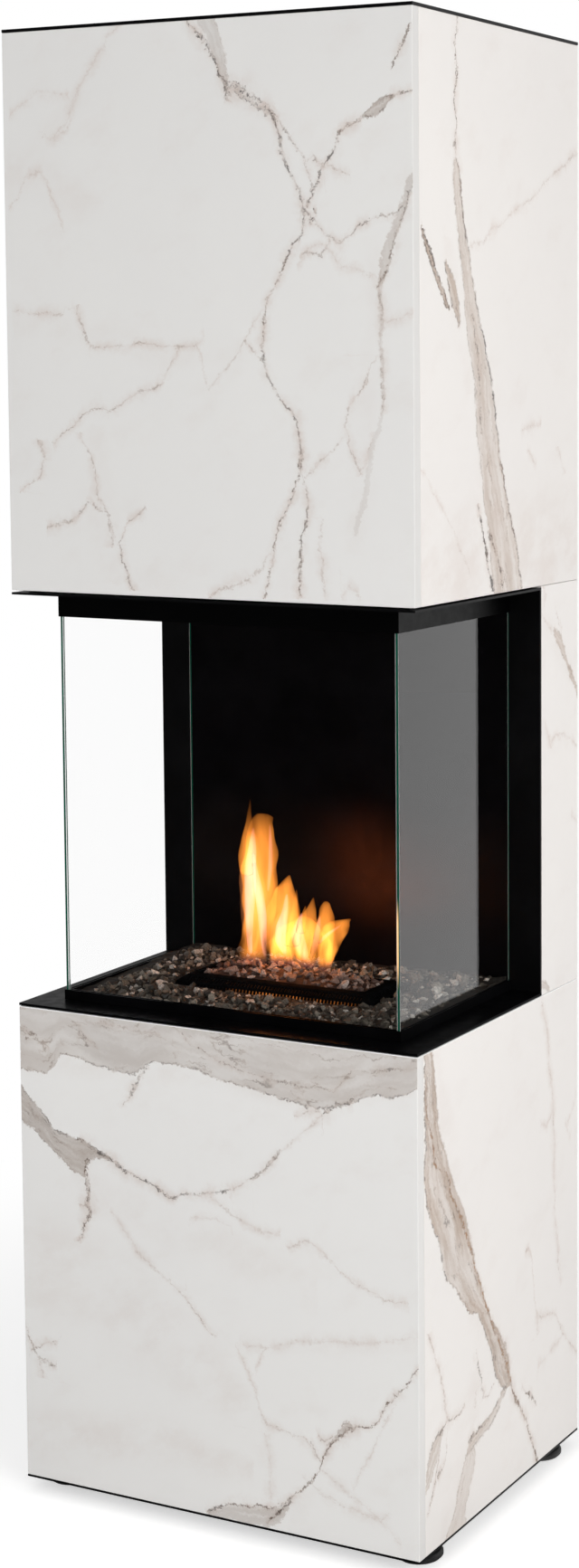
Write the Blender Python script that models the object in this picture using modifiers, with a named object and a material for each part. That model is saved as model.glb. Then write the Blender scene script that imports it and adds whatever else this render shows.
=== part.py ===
"""Free-standing three-sided gas fireplace.

A stone-clad base and a stone-clad hood are joined by a column at the back. The fire burns between them,
behind a front pane and two side panes, on a bed of gravel. Four levelling feet carry it all.
+Z is up, the front faces -Y, and the origin is on the floor, midway between the sides and from front to back.
"""

import math

import bmesh
import bpy
from mathutils import Matrix, Vector, noise

# Overall stone envelope
WIDTH = 0.620
DEPTH = 0.484
BASE_STONE_HEIGHT = 0.664
COLUMN_STONE_HEIGHT = 0.572
HOOD_STONE_HEIGHT = 0.743
STONE = 0.016
STONE_ARRIS = 0.001
SEAM = 0.0003
OVERRUN = 0.005
UNIT = 1.0
MERGE_DISTANCE = 0.00005

# Steel plates and sheets
BASE_PLATE = 0.0025
LEDGE_PLATE = 0.0033
HOOD_PLATE = 0.003
TOP_PLATE = 0.004
LEDGE_SHADOW = 0.0012
HOOD_SHADOW = 0.0028
SHEET = 0.0015

# Carcass posts
POST_LEG = 0.028
POST_SHEET = 0.002

# Glass and the channels that hold it
GLASS = 0.004
GLASS_INSET = 0.0481
GLASS_SETBACK = 0.0434
GLASS_ARRIS = 0.0005
SILL_HEIGHT = 0.0141
HEADER_HEIGHT = 0.0315

# Column behind the fire
COLUMN_DEPTH = 0.123
COVER_RETURN = 0.004
COVER_INNER_RETURN = 0.024

# Levelling feet
PAD_RADIUS = 0.0315
PAD_HEIGHT = 0.0125
PAD_EDGE = 0.0032
PAD_SHOULDER = 0.005
PAD_DOME_RADIUS = 0.013
HEX_RADIUS = 0.0098
HEX_HEIGHT = 0.0055
STUD_RADIUS = 0.005
STUD_LENGTH = 0.032
STUD_CLEARANCE = 0.0004
STUD_CHAMFER = 0.001
FOOT_INSET_SIDE = 0.0325
FOOT_INSET_END = 0.060

# Burner
BURNER_LENGTH = 0.267
BURNER_WIDTH = 0.070
BURNER_OFFSET = 0.0064
BURNER_RIM_RISE = 0.0283
BURNER_SHEET = 0.0018
BURNER_LIP = 0.010
BURNER_BAND = 0.010
BURNER_BAND_FALL = 0.001
BURNER_SHOULDER = 0.021
BURNER_SHOULDER_FALL = 0.009
BURNER_BELLY = 0.024
BURNER_BELLY_FALL = 0.016
BURNER_SKIRT = 0.0205
BURNER_SKIRT_FALL = 0.027
SLOT_PITCH = 0.0054
SLOT_WIDTH = 0.0026
SLOT_END_MARGIN = 0.008
UPPER_SLOT_START = 0.0125
UPPER_SLOT_END = 0.0195
LOWER_SLOT_TOP = 0.0115
LOWER_SLOT_BOTTOM = 0.0245
LOWER_SLOT_INNER = 0.016
PAN_DEPTH = 0.075
PAN_RIM_DROP = 0.008
BURNER_PLATE_DROP = 0.022
GAS_SPIGOT_RADIUS = 0.009

# Gravel, embers and their tray
TRAY_DEPTH = 0.018
TRAY_FLANGE = 0.012
GRAVEL_FRONT_RISE = 0.0105
GRAVEL_REAR_RISE = 0.021
GRAVEL_BACK_SHARE = 0.8
GRAVEL_SIDE_SHARE = 0.3
GRAVEL_LUMP = 0.0045
GRAVEL_STONE_PITCH = 0.0165
EMBER_RISE = 0.012
EMBER_LUMP = 0.004
EMBER_STONE_PITCH = 0.011
BED_CLEARANCE = 0.0006
LUMP_SPREAD = 1.7

# Pilot burner
PILOT_RADIUS = 0.005
PILOT_CAP_RADIUS = 0.0065
PILOT_HEIGHT = 0.034
PILOT_CAP_HEIGHT = 0.008
PILOT_OFFSET = 0.060
PILOT_GAP = 0.002

# Flue
FLUE_OUTER_RADIUS = 0.075
FLUE_INNER_RADIUS = 0.050
FLUE_SHEET = 0.0012
FLUE_CLEARANCE = 0.0004
FLUE_INNER_DROP = 0.012
FLUE_STEPS = 40
AIR_HOLE_RADIUS = 0.008
AIR_HOLES = 10
BAFFLE_WIDTH = 0.170
BAFFLE_LENGTH = 0.150
BAFFLE_DROP = 0.024
BAFFLE_FOOT = 0.018

# Gas train in the base
VALVE_WIDTH = 0.110
VALVE_DEPTH = 0.060
VALVE_HEIGHT = 0.050
VALVE_BEVEL = 0.004
VALVE_SETBACK = 0.190
BRACKET_HEIGHT = 0.160
BRACKET_FOOT = 0.030
BRACKET_MARGIN = 0.010
PIPE_RADIUS = 0.004
PIPE_BEND = 0.060
PIPE_ROUND = 0.022
BEND_STEPS = 6
INLET_RADIUS = 0.010
INLET_HEX_RADIUS = 0.0135
INLET_HEX_LENGTH = 0.012
INLET_X = 0.130
INLET_HEIGHT = 0.080
INLET_CHAMFER = 0.001
CONTROL_WIDTH = 0.090
CONTROL_DEPTH = 0.060
CONTROL_HEIGHT = 0.028
CONTROL_BEVEL = 0.003
CONTROL_OFFSET = -0.150

# Levels and planes that follow from the sizes above
SIDE = WIDTH / 2
FRONT = -DEPTH / 2
REAR = DEPTH / 2
FOOT_HEIGHT = PAD_HEIGHT + SEAM + HEX_HEIGHT + SEAM
BASE_PLATE_TOP = FOOT_HEIGHT + BASE_PLATE
BASE_LOW = BASE_PLATE_TOP + SEAM
BASE_TOP = BASE_LOW + BASE_STONE_HEIGHT
LEDGE_LOW = BASE_TOP + LEDGE_SHADOW
LEDGE_TOP = LEDGE_LOW + LEDGE_PLATE
COLUMN_LOW = BASE_TOP + SEAM
COLUMN_TOP = COLUMN_LOW + COLUMN_STONE_HEIGHT
HOOD_LOW = COLUMN_TOP + SEAM
HOOD_TOP = HOOD_LOW + HOOD_STONE_HEIGHT
HOOD_PLATE_TOP = HOOD_LOW - HOOD_SHADOW
HOOD_PLATE_LOW = HOOD_PLATE_TOP - HOOD_PLATE
TOP_PLATE_LOW = HOOD_TOP + SEAM
TOP_PLATE_TOP = TOP_PLATE_LOW + TOP_PLATE
INNER_SIDE = SIDE - STONE - SEAM
INNER_FRONT = FRONT + STONE + SEAM
INNER_REAR = REAR - SHEET - SEAM
COLUMN_FRONT = REAR - COLUMN_DEPTH
COLUMN_STONE_FRONT = COLUMN_FRONT + COVER_RETURN + SEAM
GLASS_SIDE = SIDE - GLASS_INSET
GLASS_FRONT = FRONT + GLASS_SETBACK
CHANNEL_OUT = SHEET + SEAM
CHANNEL_IN = GLASS + SEAM + SHEET
CHAMBER_SIDE = GLASS_SIDE - CHANNEL_IN
CHAMBER_FRONT = GLASS_FRONT + CHANNEL_IN
SILL_LOW = LEDGE_TOP + SEAM
SILL_TOP = SILL_LOW + SILL_HEIGHT
HEADER_TOP = HOOD_PLATE_LOW - SEAM
HEADER_LOW = HEADER_TOP - HEADER_HEIGHT
GLASS_LOW = SILL_LOW + SHEET + SEAM
GLASS_TOP = HEADER_TOP - SHEET - SEAM
BURNER_RIM = BASE_TOP + BURNER_RIM_RISE
BURNER_HALF_X = BURNER_LENGTH / 2
BURNER_HALF_Y = BURNER_WIDTH / 2
TRAY_HALF_X = CHAMBER_SIDE - SEAM
TRAY_FRONT = CHAMBER_FRONT + SEAM
TRAY_REAR = COLUMN_FRONT - SEAM
TRAY_Y = (TRAY_FRONT + TRAY_REAR) / 2
TRAY_HALF_Y = (TRAY_REAR - TRAY_FRONT) / 2
BURNER_Y = TRAY_Y + BURNER_OFFSET
TRAY_FLANGE_TOP = LEDGE_TOP + SEAM + SHEET
TRAY_FLOOR = TRAY_FLANGE_TOP - TRAY_DEPTH
PAN_HALF_X = BURNER_HALF_X - SEAM
PAN_HALF_Y = BURNER_HALF_Y - SEAM
PAN_TOP = BURNER_RIM - PAN_RIM_DROP
PAN_LOW = PAN_TOP - PAN_DEPTH
EMBER_LOW = BURNER_RIM - BURNER_PLATE_DROP
INLET_Z = BASE_LOW + INLET_HEIGHT
INLET_FRONT = REAR - SHEET - SEAM - INLET_HEX_LENGTH

# Finishes: colour, roughness, metallic, transmission
STONE_FINISH = ((0.72, 0.70, 0.67), 0.35, 0.0, 0.0)
BLACK_FINISH = ((0.012, 0.012, 0.013), 0.45, 0.0, 0.0)
BURNER_FINISH = ((0.010, 0.010, 0.011), 0.55, 0.2, 0.0)
ZINC_FINISH = ((0.55, 0.56, 0.58), 0.38, 1.0, 0.0)
GLASS_FINISH = ((0.80, 0.90, 0.86), 0.03, 0.0, 1.0)
GRAVEL_FINISH = ((0.16, 0.14, 0.12), 0.90, 0.0, 0.0)
EMBER_FINISH = ((0.30, 0.17, 0.11), 0.90, 0.0, 0.0)
RUBBER_FINISH = ((0.020, 0.020, 0.020), 0.70, 0.0, 0.0)
BRASS_FINISH = ((0.72, 0.52, 0.22), 0.30, 1.0, 0.0)
ALUMINIUM_FINISH = ((0.62, 0.63, 0.64), 0.42, 1.0, 0.0)
PLASTIC_FINISH = ((0.045, 0.045, 0.048), 0.50, 0.0, 0.0)


def clear_scene():
    for obj in list(bpy.data.objects):
        bpy.data.objects.remove(obj, do_unlink=True)


def new_collection(name):
    collection = bpy.data.collections.new(name)
    bpy.context.scene.collection.children.link(collection)
    return collection


def give_material(obj, finish):
    colour, roughness, metallic, transmission = finish
    material = bpy.data.materials.new(obj.name + "_finish")
    material.use_nodes = True
    shader = material.node_tree.nodes["Principled BSDF"]
    shader.inputs["Base Color"].default_value = (*colour, 1.0)
    shader.inputs["Roughness"].default_value = roughness
    shader.inputs["Metallic"].default_value = metallic
    shader.inputs["Transmission Weight"].default_value = transmission
    material.diffuse_color = (*colour, 1.0)
    obj.data.materials.append(material)


def add_object(name, data, finish=None):
    obj = bpy.data.objects.new(name, data)
    if finish is None:
        CUTTERS.objects.link(obj)
        obj.hide_render = True
        obj.display_type = "WIRE"
    else:
        PARTS.objects.link(obj)
        give_material(obj, finish)
    return obj


def mesh_from(bm, name):
    mesh = bpy.data.meshes.new(name)
    bm.to_mesh(mesh)
    bm.free()
    return mesh


def bevel(obj, width, segments=1):
    modifier = obj.modifiers.new("bevel", "BEVEL")
    modifier.width = width
    modifier.segments = segments
    modifier.limit_method = "ANGLE"
    return modifier


def solidify(obj, thickness):
    """Grows the sheet behind its faces."""
    modifier = obj.modifiers.new("sheet", "SOLIDIFY")
    modifier.thickness = thickness
    modifier.offset = -1
    modifier.use_even_offset = True
    return modifier


def boolean(obj, other, operation="DIFFERENCE"):
    modifier = obj.modifiers.new(other.name, "BOOLEAN")
    modifier.operation = operation
    modifier.object = other
    modifier.solver = "EXACT"
    return modifier


def slab(name, low, high, finish, arris=0.0, segments=1):
    """A rectangular block between two corners."""
    low, high = Vector(low), Vector(high)
    bm = bmesh.new()
    bmesh.ops.create_cube(bm, size=UNIT)
    bmesh.ops.scale(bm, vec=high - low, verts=bm.verts)
    obj = add_object(name, mesh_from(bm, name), finish)
    obj.location = (low + high) / 2
    if arris:
        bevel(obj, arris, segments)
    return obj


def circle(centre_x, centre_y, radius, steps=32):
    turns = [2 * math.pi * i / steps for i in range(steps)]
    return [(centre_x + radius * math.cos(a), centre_y + radius * math.sin(a)) for a in turns]


def rectangle(half_x, half_y, centre_y=0.0):
    return [
        (-half_x, centre_y - half_y),
        (half_x, centre_y - half_y),
        (half_x, centre_y + half_y),
        (-half_x, centre_y + half_y),
    ]


def cut_plate(name, outline, holes, low, thickness, finish, upright=False):
    """A flat plate from its outline and holes; upright, the outline is in X and Z and low is its front Y."""
    curve = bpy.data.curves.new(name, "CURVE")
    curve.dimensions = "2D"
    curve.fill_mode = "BOTH"
    curve.extrude = thickness / 2
    curve.render_resolution_u = 0
    for points in [outline, *holes]:
        spline = curve.splines.new("POLY")
        spline.points.add(len(points) - 1)
        for point, (x, y) in zip(spline.points, points):
            point.co = (x, y, 0.0, 1.0)
        spline.use_cyclic_u = True
    obj = add_object(name, curve, finish)
    middle = low + thickness / 2
    if upright:
        obj.rotation_euler = (math.pi / 2, 0.0, 0.0)
        obj.location = (0.0, middle, 0.0)
    else:
        obj.location = (0.0, 0.0, middle)
    return obj


def folded_sheet(name, plan, low, high, thickness, finish):
    """Sheet folded along upright lines. The plan is walked with its outer face on the right."""
    bm = bmesh.new()
    lower = [bm.verts.new((x, y, low)) for x, y in plan]
    upper = [bm.verts.new((x, y, high)) for x, y in plan]
    for i in range(len(plan) - 1):
        bm.faces.new((lower[i], lower[i + 1], upper[i + 1], upper[i]))
    obj = add_object(name, mesh_from(bm, name), finish)
    solidify(obj, thickness)
    return obj


def thickened(points, thickness):
    """A folded strip's section: the open outline, and the same outline a sheet's thickness to its left."""
    points = [Vector(p) for p in points]
    left = []
    for i, point in enumerate(points):
        before = (point - points[i - 1]).normalized() if i else None
        after = (points[i + 1] - point).normalized() if i < len(points) - 1 else None
        first, second = before or after, after or before
        normals = [Vector((-d.y, d.x)) for d in (first, second)]
        middle = (normals[0] + normals[1]).normalized()
        left.append(point + middle * thickness / middle.dot(normals[0]))
    return [tuple(p) for p in points + left[::-1]]


def loft_rectangles(name, loops, finish, centre_y=0.0, ring=False):
    """A solid through rectangular loops (half x, half y, z): a dish with a floor, or a ring."""
    bm = bmesh.new()
    rows = []
    for half_x, half_y, z in loops:
        rows.append([bm.verts.new((x, y, z)) for x, y in rectangle(half_x, half_y, centre_y)])
    pairs = list(zip(rows, rows[1:]))
    if ring:
        pairs.append((rows[-1], rows[0]))
    else:
        bm.faces.new(rows[0])
        bm.faces.new(rows[-1])
    for first, second in pairs:
        for i in range(4):
            j = (i + 1) % 4
            bm.faces.new((first[i], second[i], second[j], first[j]))
    bmesh.ops.recalc_face_normals(bm, faces=bm.faces)
    return add_object(name, mesh_from(bm, name), finish)


def glass_channel(name, open_z, web_z, finish):
    """A U channel along the left, front and right panes, mitred at the front corners.

    Its lips run from open_z to the web at web_z."""
    rear = COLUMN_FRONT - SEAM
    section = [(CHANNEL_OUT, open_z), (CHANNEL_OUT, web_z), (-CHANNEL_IN, web_z), (-CHANNEL_IN, open_z)]
    inward = SHEET if web_z > open_z else -SHEET
    bm = bmesh.new()
    runs = []
    for out, z in thickened(section, inward):
        side, front = GLASS_SIDE + out, GLASS_FRONT - out
        path = [(-side, rear), (-side, front), (side, front), (side, rear)]
        runs.append([bm.verts.new((x, y, z)) for x, y in path])
    for first, second in zip(runs, runs[1:] + runs[:1]):
        for i in range(3):
            bm.faces.new((first[i], first[i + 1], second[i + 1], second[i]))
    for end in (0, -1):
        bm.faces.new([run[end] for run in runs])
    bmesh.ops.recalc_face_normals(bm, faces=bm.faces)
    return add_object(name, mesh_from(bm, name), finish)


def turned(name, profile, finish, location=(0.0, 0.0, 0.0), steps=32):
    """A profile of (radius, height) points, top to bottom down its outer side, turned about Z."""
    bm = bmesh.new()
    points = [bm.verts.new((radius, 0.0, height)) for radius, height in profile]
    for first, second in zip(points, points[1:]):
        bm.edges.new((first, second))
    obj = add_object(name, mesh_from(bm, name), finish)
    obj.location = location
    screw = obj.modifiers.new("turn", "SCREW")
    screw.steps = steps
    screw.render_steps = steps
    screw.use_merge_vertices = True
    screw.merge_threshold = MERGE_DISTANCE
    screw.use_smooth_shade = True
    return obj


def pipe_wall(name, radius, thickness, low, high, finish, location):
    """A round pipe, open at both ends."""
    inner = radius - thickness
    profile = [(inner, low), (inner, high), (radius, high), (radius, low), (inner, low)]
    return turned(name, profile, finish, location, FLUE_STEPS)


def prism(name, radius, low, high, sides, finish, location):
    """An upright prism with regular sides, such as a hexagon head."""
    bm = bmesh.new()
    bmesh.ops.create_cone(
        bm, cap_ends=True, segments=sides, radius1=radius, radius2=radius, depth=high - low
    )
    obj = add_object(name, mesh_from(bm, name), finish)
    obj.location = Vector(location) + Vector((0.0, 0.0, (low + high) / 2))
    return obj


def tube(name, corners, radius, bend, finish):
    """A bent tube: straight runs between the corners, with each corner rounded by the bend radius."""
    corners = [Vector(c) for c in corners]
    path = [corners[0]]
    for before, corner, after in zip(corners, corners[1:], corners[2:]):
        start = corner + (before - corner).normalized() * bend
        end = corner + (after - corner).normalized() * bend
        for i in range(BEND_STEPS + 1):
            t = i / BEND_STEPS
            path.append(start * (1 - t) ** 2 + corner * 2 * t * (1 - t) + end * t**2)
    path.append(corners[-1])
    curve = bpy.data.curves.new(name, "CURVE")
    curve.dimensions = "3D"
    curve.bevel_depth = radius
    curve.bevel_resolution = 2
    curve.use_fill_caps = True
    curve.render_resolution_u = 0
    spline = curve.splines.new("POLY")
    spline.points.add(len(path) - 1)
    for point, place in zip(spline.points, path):
        point.co = (*place, 1.0)
    return add_object(name, curve, finish)


def slot_cutter(name, boxes):
    """One cutter made of many boxes, each given by its centre and its size."""
    bm = bmesh.new()
    for centre, size in boxes:
        place = Matrix.Translation(centre) @ Matrix.Diagonal((*size, 1.0))
        bmesh.ops.create_cube(bm, size=UNIT, matrix=place)
    return add_object(name, mesh_from(bm, name))


def stone_panels(zone, low, high, front=True):
    """The stone around one zone: the front panel covers the side panels' front edges."""
    side_front = COLUMN_STONE_FRONT
    if front:
        side_front = INNER_FRONT
        slab(
            f"{zone}_front_panel",
            (-SIDE, FRONT, low),
            (SIDE, FRONT + STONE, high),
            STONE_FINISH,
            STONE_ARRIS,
            segments=2,
        )
    slab(
        f"{zone}_left_panel",
        (-SIDE, side_front, low),
        (-SIDE + STONE, REAR, high),
        STONE_FINISH,
        STONE_ARRIS,
        segments=2,
    )
    slab(
        f"{zone}_right_panel",
        (SIDE - STONE, side_front, low),
        (SIDE, REAR, high),
        STONE_FINISH,
        STONE_ARRIS,
        segments=2,
    )


def back_panel(zone, low, high, holes=()):
    outline = [(-INNER_SIDE, low), (INNER_SIDE, low), (INNER_SIDE, high), (-INNER_SIDE, high)]
    cut_plate(f"{zone}_back_panel", outline, holes, REAR - SHEET, SHEET, BLACK_FINISH, upright=True)


def corner_post(name, sign_x, sign_y, low, high):
    """An angle post in the corner between two panels."""
    x = sign_x * INNER_SIDE
    y = INNER_FRONT if sign_y < 0 else INNER_REAR
    plan = [(x, y - sign_y * POST_LEG), (x, y), (x - sign_x * POST_LEG, y)]
    if sign_x * sign_y < 0:
        plan.reverse()
    folded_sheet(name, plan, low, high, POST_SHEET, ZINC_FINISH)


def shelf_outline():
    """The ledge and hood plates: full width in front of the column, and between its stone panels behind."""
    return [
        (-SIDE, FRONT),
        (SIDE, FRONT),
        (SIDE, COLUMN_STONE_FRONT - SEAM),
        (INNER_SIDE, COLUMN_STONE_FRONT - SEAM),
        (INNER_SIDE, INNER_REAR),
        (-INNER_SIDE, INNER_REAR),
        (-INNER_SIDE, COLUMN_STONE_FRONT - SEAM),
        (-SIDE, COLUMN_STONE_FRONT - SEAM),
    ]


def build_base():
    stone_panels("base", BASE_LOW, BASE_TOP)
    inlet_hole = circle(INLET_X, INLET_Z, INLET_RADIUS + SEAM)
    back_panel("base", BASE_LOW, BASE_TOP, [inlet_hole])
    stud_holes = [circle(x, y, STUD_RADIUS + STUD_CLEARANCE, 16) for _, x, y in foot_places()]
    cut_plate("base_plate", rectangle(SIDE, REAR), stud_holes, FOOT_HEIGHT, BASE_PLATE, BLACK_FINISH)
    for side, sign_x in (("left", -1), ("right", 1)):
        for end, sign_y in (("front", -1), ("rear", 1)):
            corner_post(f"base_post_{end}_{side}", sign_x, sign_y, BASE_LOW, LEDGE_LOW - SEAM)


def foot_places():
    places = []
    for side, sign_x in (("left", -1), ("right", 1)):
        for end, sign_y in (("front", -1), ("rear", 1)):
            x = sign_x * (SIDE - FOOT_INSET_SIDE)
            y = sign_y * (REAR - FOOT_INSET_END)
            places.append((f"{end}_{side}", x, y))
    return places


def build_feet():
    """Each foot is a rubber-soled pad and a stud whose hexagon head sits just under the base plate."""
    for place, x, y in foot_places():
        pad_profile = [
            (0.0, PAD_HEIGHT),
            (PAD_DOME_RADIUS, PAD_HEIGHT),
            (PAD_RADIUS - PAD_EDGE, PAD_HEIGHT - PAD_SHOULDER / 2),
            (PAD_RADIUS, PAD_HEIGHT - PAD_SHOULDER),
            (PAD_RADIUS, PAD_EDGE),
            (PAD_RADIUS - PAD_EDGE, 0.0),
            (0.0, 0.0),
        ]
        turned(f"foot_pad_{place}", pad_profile, RUBBER_FINISH, (x, y, 0.0), 40)
        head_low = PAD_HEIGHT + SEAM
        head_top = head_low + HEX_HEIGHT
        head = prism(f"foot_head_{place}", HEX_RADIUS, head_low, head_top, 6, None, (x, y, 0.0))
        stud_top = head_top + STUD_LENGTH
        stud_low = head_low + HEX_HEIGHT / 2
        stud_profile = [
            (0.0, stud_top),
            (STUD_RADIUS - STUD_CHAMFER, stud_top),
            (STUD_RADIUS, stud_top - STUD_CHAMFER),
            (STUD_RADIUS, stud_low),
            (0.0, stud_low),
        ]
        stud = turned(f"foot_stud_{place}", stud_profile, ZINC_FINISH, (x, y, 0.0), 16)
        boolean(stud, head, "UNION")


def build_column():
    stone_panels("column", COLUMN_LOW, COLUMN_TOP, front=False)
    back_panel("column", COLUMN_LOW, COLUMN_TOP)
    low, high = LEDGE_TOP + SEAM, HOOD_PLATE_LOW - SEAM
    inner = GLASS_SIDE + SEAM
    for side, sign_x in (("left", -1), ("right", 1)):
        plan = [
            (sign_x * inner, COLUMN_FRONT + COVER_INNER_RETURN),
            (sign_x * inner, COLUMN_FRONT),
            (sign_x * SIDE, COLUMN_FRONT),
            (sign_x * SIDE, COLUMN_FRONT + COVER_RETURN),
        ]
        if sign_x < 0:
            plan.reverse()
        folded_sheet(f"column_cover_{side}", plan, low, high, SHEET, BLACK_FINISH)
        corner_post(f"column_post_{side}", sign_x, 1, low, high)
    slab(
        "firebox_back",
        (-GLASS_SIDE, COLUMN_FRONT, low),
        (GLASS_SIDE, COLUMN_FRONT + POST_SHEET, high),
        BLACK_FINISH,
    )


def build_chamber():
    ledge_opening = rectangle(TRAY_HALF_X - TRAY_FLANGE + SEAM, TRAY_HALF_Y - TRAY_FLANGE + SEAM, TRAY_Y)
    cut_plate("ledge_plate", shelf_outline(), [ledge_opening], LEDGE_LOW, LEDGE_PLATE, BLACK_FINISH)
    glass_channel("sill_frame", SILL_TOP, SILL_LOW, BLACK_FINISH)
    glass_channel("header_frame", HEADER_LOW, HEADER_TOP, BLACK_FINISH)
    rear = COLUMN_FRONT - SEAM
    for side, sign_x in (("left", -1), ("right", 1)):
        outer, inner = sign_x * GLASS_SIDE, sign_x * (GLASS_SIDE - GLASS)
        slab(
            f"glass_{side}",
            (min(outer, inner), GLASS_FRONT, GLASS_LOW),
            (max(outer, inner), rear, GLASS_TOP),
            GLASS_FINISH,
            GLASS_ARRIS,
        )
    half = GLASS_SIDE - GLASS - SEAM
    slab(
        "glass_front",
        (-half, GLASS_FRONT, GLASS_LOW),
        (half, GLASS_FRONT + GLASS, GLASS_TOP),
        GLASS_FINISH,
        GLASS_ARRIS,
    )


def bed_surface(name, half_x, front, rear, low, level, lump, pitch, finish):
    """A heap of small stones: a flat bottom, straight sides and a lumpy top, from the level function."""
    across = max(2, round(2 * half_x / pitch))
    along = max(2, round((rear - front) / pitch))
    bm = bmesh.new()
    bmesh.ops.create_grid(bm, x_segments=across, y_segments=along, size=UNIT / 2)
    middle = (front + rear) / 2
    for vert in bm.verts:
        x, y = vert.co.x * 2 * half_x, vert.co.y * (rear - front)
        cell = noise.noise(Vector((x / pitch, y / pitch, 0.0)) * LUMP_SPREAD)
        vert.co = (x, middle + y, level(x, middle + y) + lump * cell)
    top = list(bm.faces)
    sides = bmesh.ops.extrude_face_region(bm, geom=top)["geom"]
    for item in sides:
        if isinstance(item, bmesh.types.BMVert):
            item.co.z = low
    for face in top:
        if face.is_valid:
            face.normal_flip()
    bmesh.ops.recalc_face_normals(bm, faces=bm.faces)
    return add_object(name, mesh_from(bm, name), finish)


def gravel_level(x, y):
    """Gravel lies lower in front of the burner and is heaped towards the back and the sides."""
    back_share = (y - TRAY_FRONT) / (TRAY_REAR - TRAY_FRONT)
    side_share = (abs(x) / TRAY_HALF_X) ** 2
    share = min(1.0, back_share * GRAVEL_BACK_SHARE + side_share * GRAVEL_SIDE_SHARE)
    return BASE_TOP + GRAVEL_FRONT_RISE + (GRAVEL_REAR_RISE - GRAVEL_FRONT_RISE) * share


def ember_level(x, y):
    """Embers crown along the middle of the burner."""
    across_share = 1 - ((y - BURNER_Y) / PAN_HALF_Y) ** 2
    along_share = 1 - (x / PAN_HALF_X) ** 4
    return BURNER_RIM - EMBER_LUMP + EMBER_RISE * across_share * along_share


def burner_slots():
    """The slots of the burner surround: a short one over the shoulder and a long one down the belly."""
    boxes = []
    upper_depth = UPPER_SLOT_END - UPPER_SLOT_START
    upper_out = (UPPER_SLOT_START + UPPER_SLOT_END) / 2
    upper_high = BURNER_SHOULDER_FALL + BURNER_SHEET + BURNER_SHEET
    upper_z = BURNER_RIM - BURNER_SHOULDER_FALL / 2
    lower_depth = BURNER_BELLY + BURNER_SHEET - LOWER_SLOT_INNER
    lower_out = (BURNER_BELLY + BURNER_SHEET + LOWER_SLOT_INNER) / 2
    lower_high = LOWER_SLOT_BOTTOM - LOWER_SLOT_TOP
    lower_z = BURNER_RIM - (LOWER_SLOT_BOTTOM + LOWER_SLOT_TOP) / 2
    rows = ((upper_out, upper_depth, upper_z, upper_high), (lower_out, lower_depth, lower_z, lower_high))
    for half, other in ((BURNER_HALF_X, BURNER_HALF_Y), (BURNER_HALF_Y, BURNER_HALF_X)):
        count = int(2 * (half + SLOT_END_MARGIN) / SLOT_PITCH)
        for i in range(count):
            along = (i - (count - 1) / 2) * SLOT_PITCH
            for out, depth, z, high in rows:
                for sign in (-1, 1):
                    across = sign * (other + out)
                    if half == BURNER_HALF_X:
                        centre = Vector((along, BURNER_Y + across, z))
                        size = (SLOT_WIDTH, depth, high)
                    else:
                        centre = Vector((across, BURNER_Y + along, z))
                        size = (depth, SLOT_WIDTH, high)
                    boxes.append((centre, size))
    return boxes


def build_burner():
    floor = TRAY_FLOOR + SHEET + SEAM
    outline = [
        (0.0, -BURNER_LIP),
        (0.0, 0.0),
        (BURNER_BAND, -BURNER_BAND_FALL),
        (BURNER_SHOULDER, -BURNER_SHOULDER_FALL),
        (BURNER_BELLY, -BURNER_BELLY_FALL),
        (BURNER_SKIRT, -BURNER_SKIRT_FALL),
        (BURNER_SKIRT, floor - BURNER_RIM),
    ]
    loops = [
        (BURNER_HALF_X + out, BURNER_HALF_Y + out, BURNER_RIM + rise)
        for out, rise in thickened(outline, -BURNER_SHEET)
    ]
    surround = loft_rectangles("burner_surround", loops, BURNER_FINISH, BURNER_Y, ring=True)
    boolean(surround, slot_cutter("burner_slot_cutter", burner_slots()))

    inside_x, inside_y = PAN_HALF_X - SHEET, PAN_HALF_Y - SHEET
    pan_loops = [
        (inside_x, inside_y, PAN_LOW + SHEET),
        (inside_x, inside_y, PAN_TOP),
        (PAN_HALF_X, PAN_HALF_Y, PAN_TOP),
        (PAN_HALF_X, PAN_HALF_Y, PAN_LOW),
    ]
    pan = loft_rectangles("burner_pan", pan_loops, ZINC_FINISH, BURNER_Y)
    spigot = (0.0, BURNER_Y, 0.0)
    boolean(
        pan,
        prism("pan_inlet_cutter", GAS_SPIGOT_RADIUS, PAN_LOW - OVERRUN, PAN_LOW + OVERRUN, 24, None, spigot),
    )

    inner_x, inner_y = inside_x - SEAM, inside_y - SEAM
    slab(
        "burner_plate",
        (-inner_x, BURNER_Y - inner_y, EMBER_LOW - SEAM - SHEET),
        (inner_x, BURNER_Y + inner_y, EMBER_LOW - SEAM),
        ZINC_FINISH,
    )
    bed_surface(
        "ember_bed",
        inner_x,
        BURNER_Y - inner_y,
        BURNER_Y + inner_y,
        EMBER_LOW,
        ember_level,
        EMBER_LUMP,
        EMBER_STONE_PITCH,
        EMBER_FINISH,
    )


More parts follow.
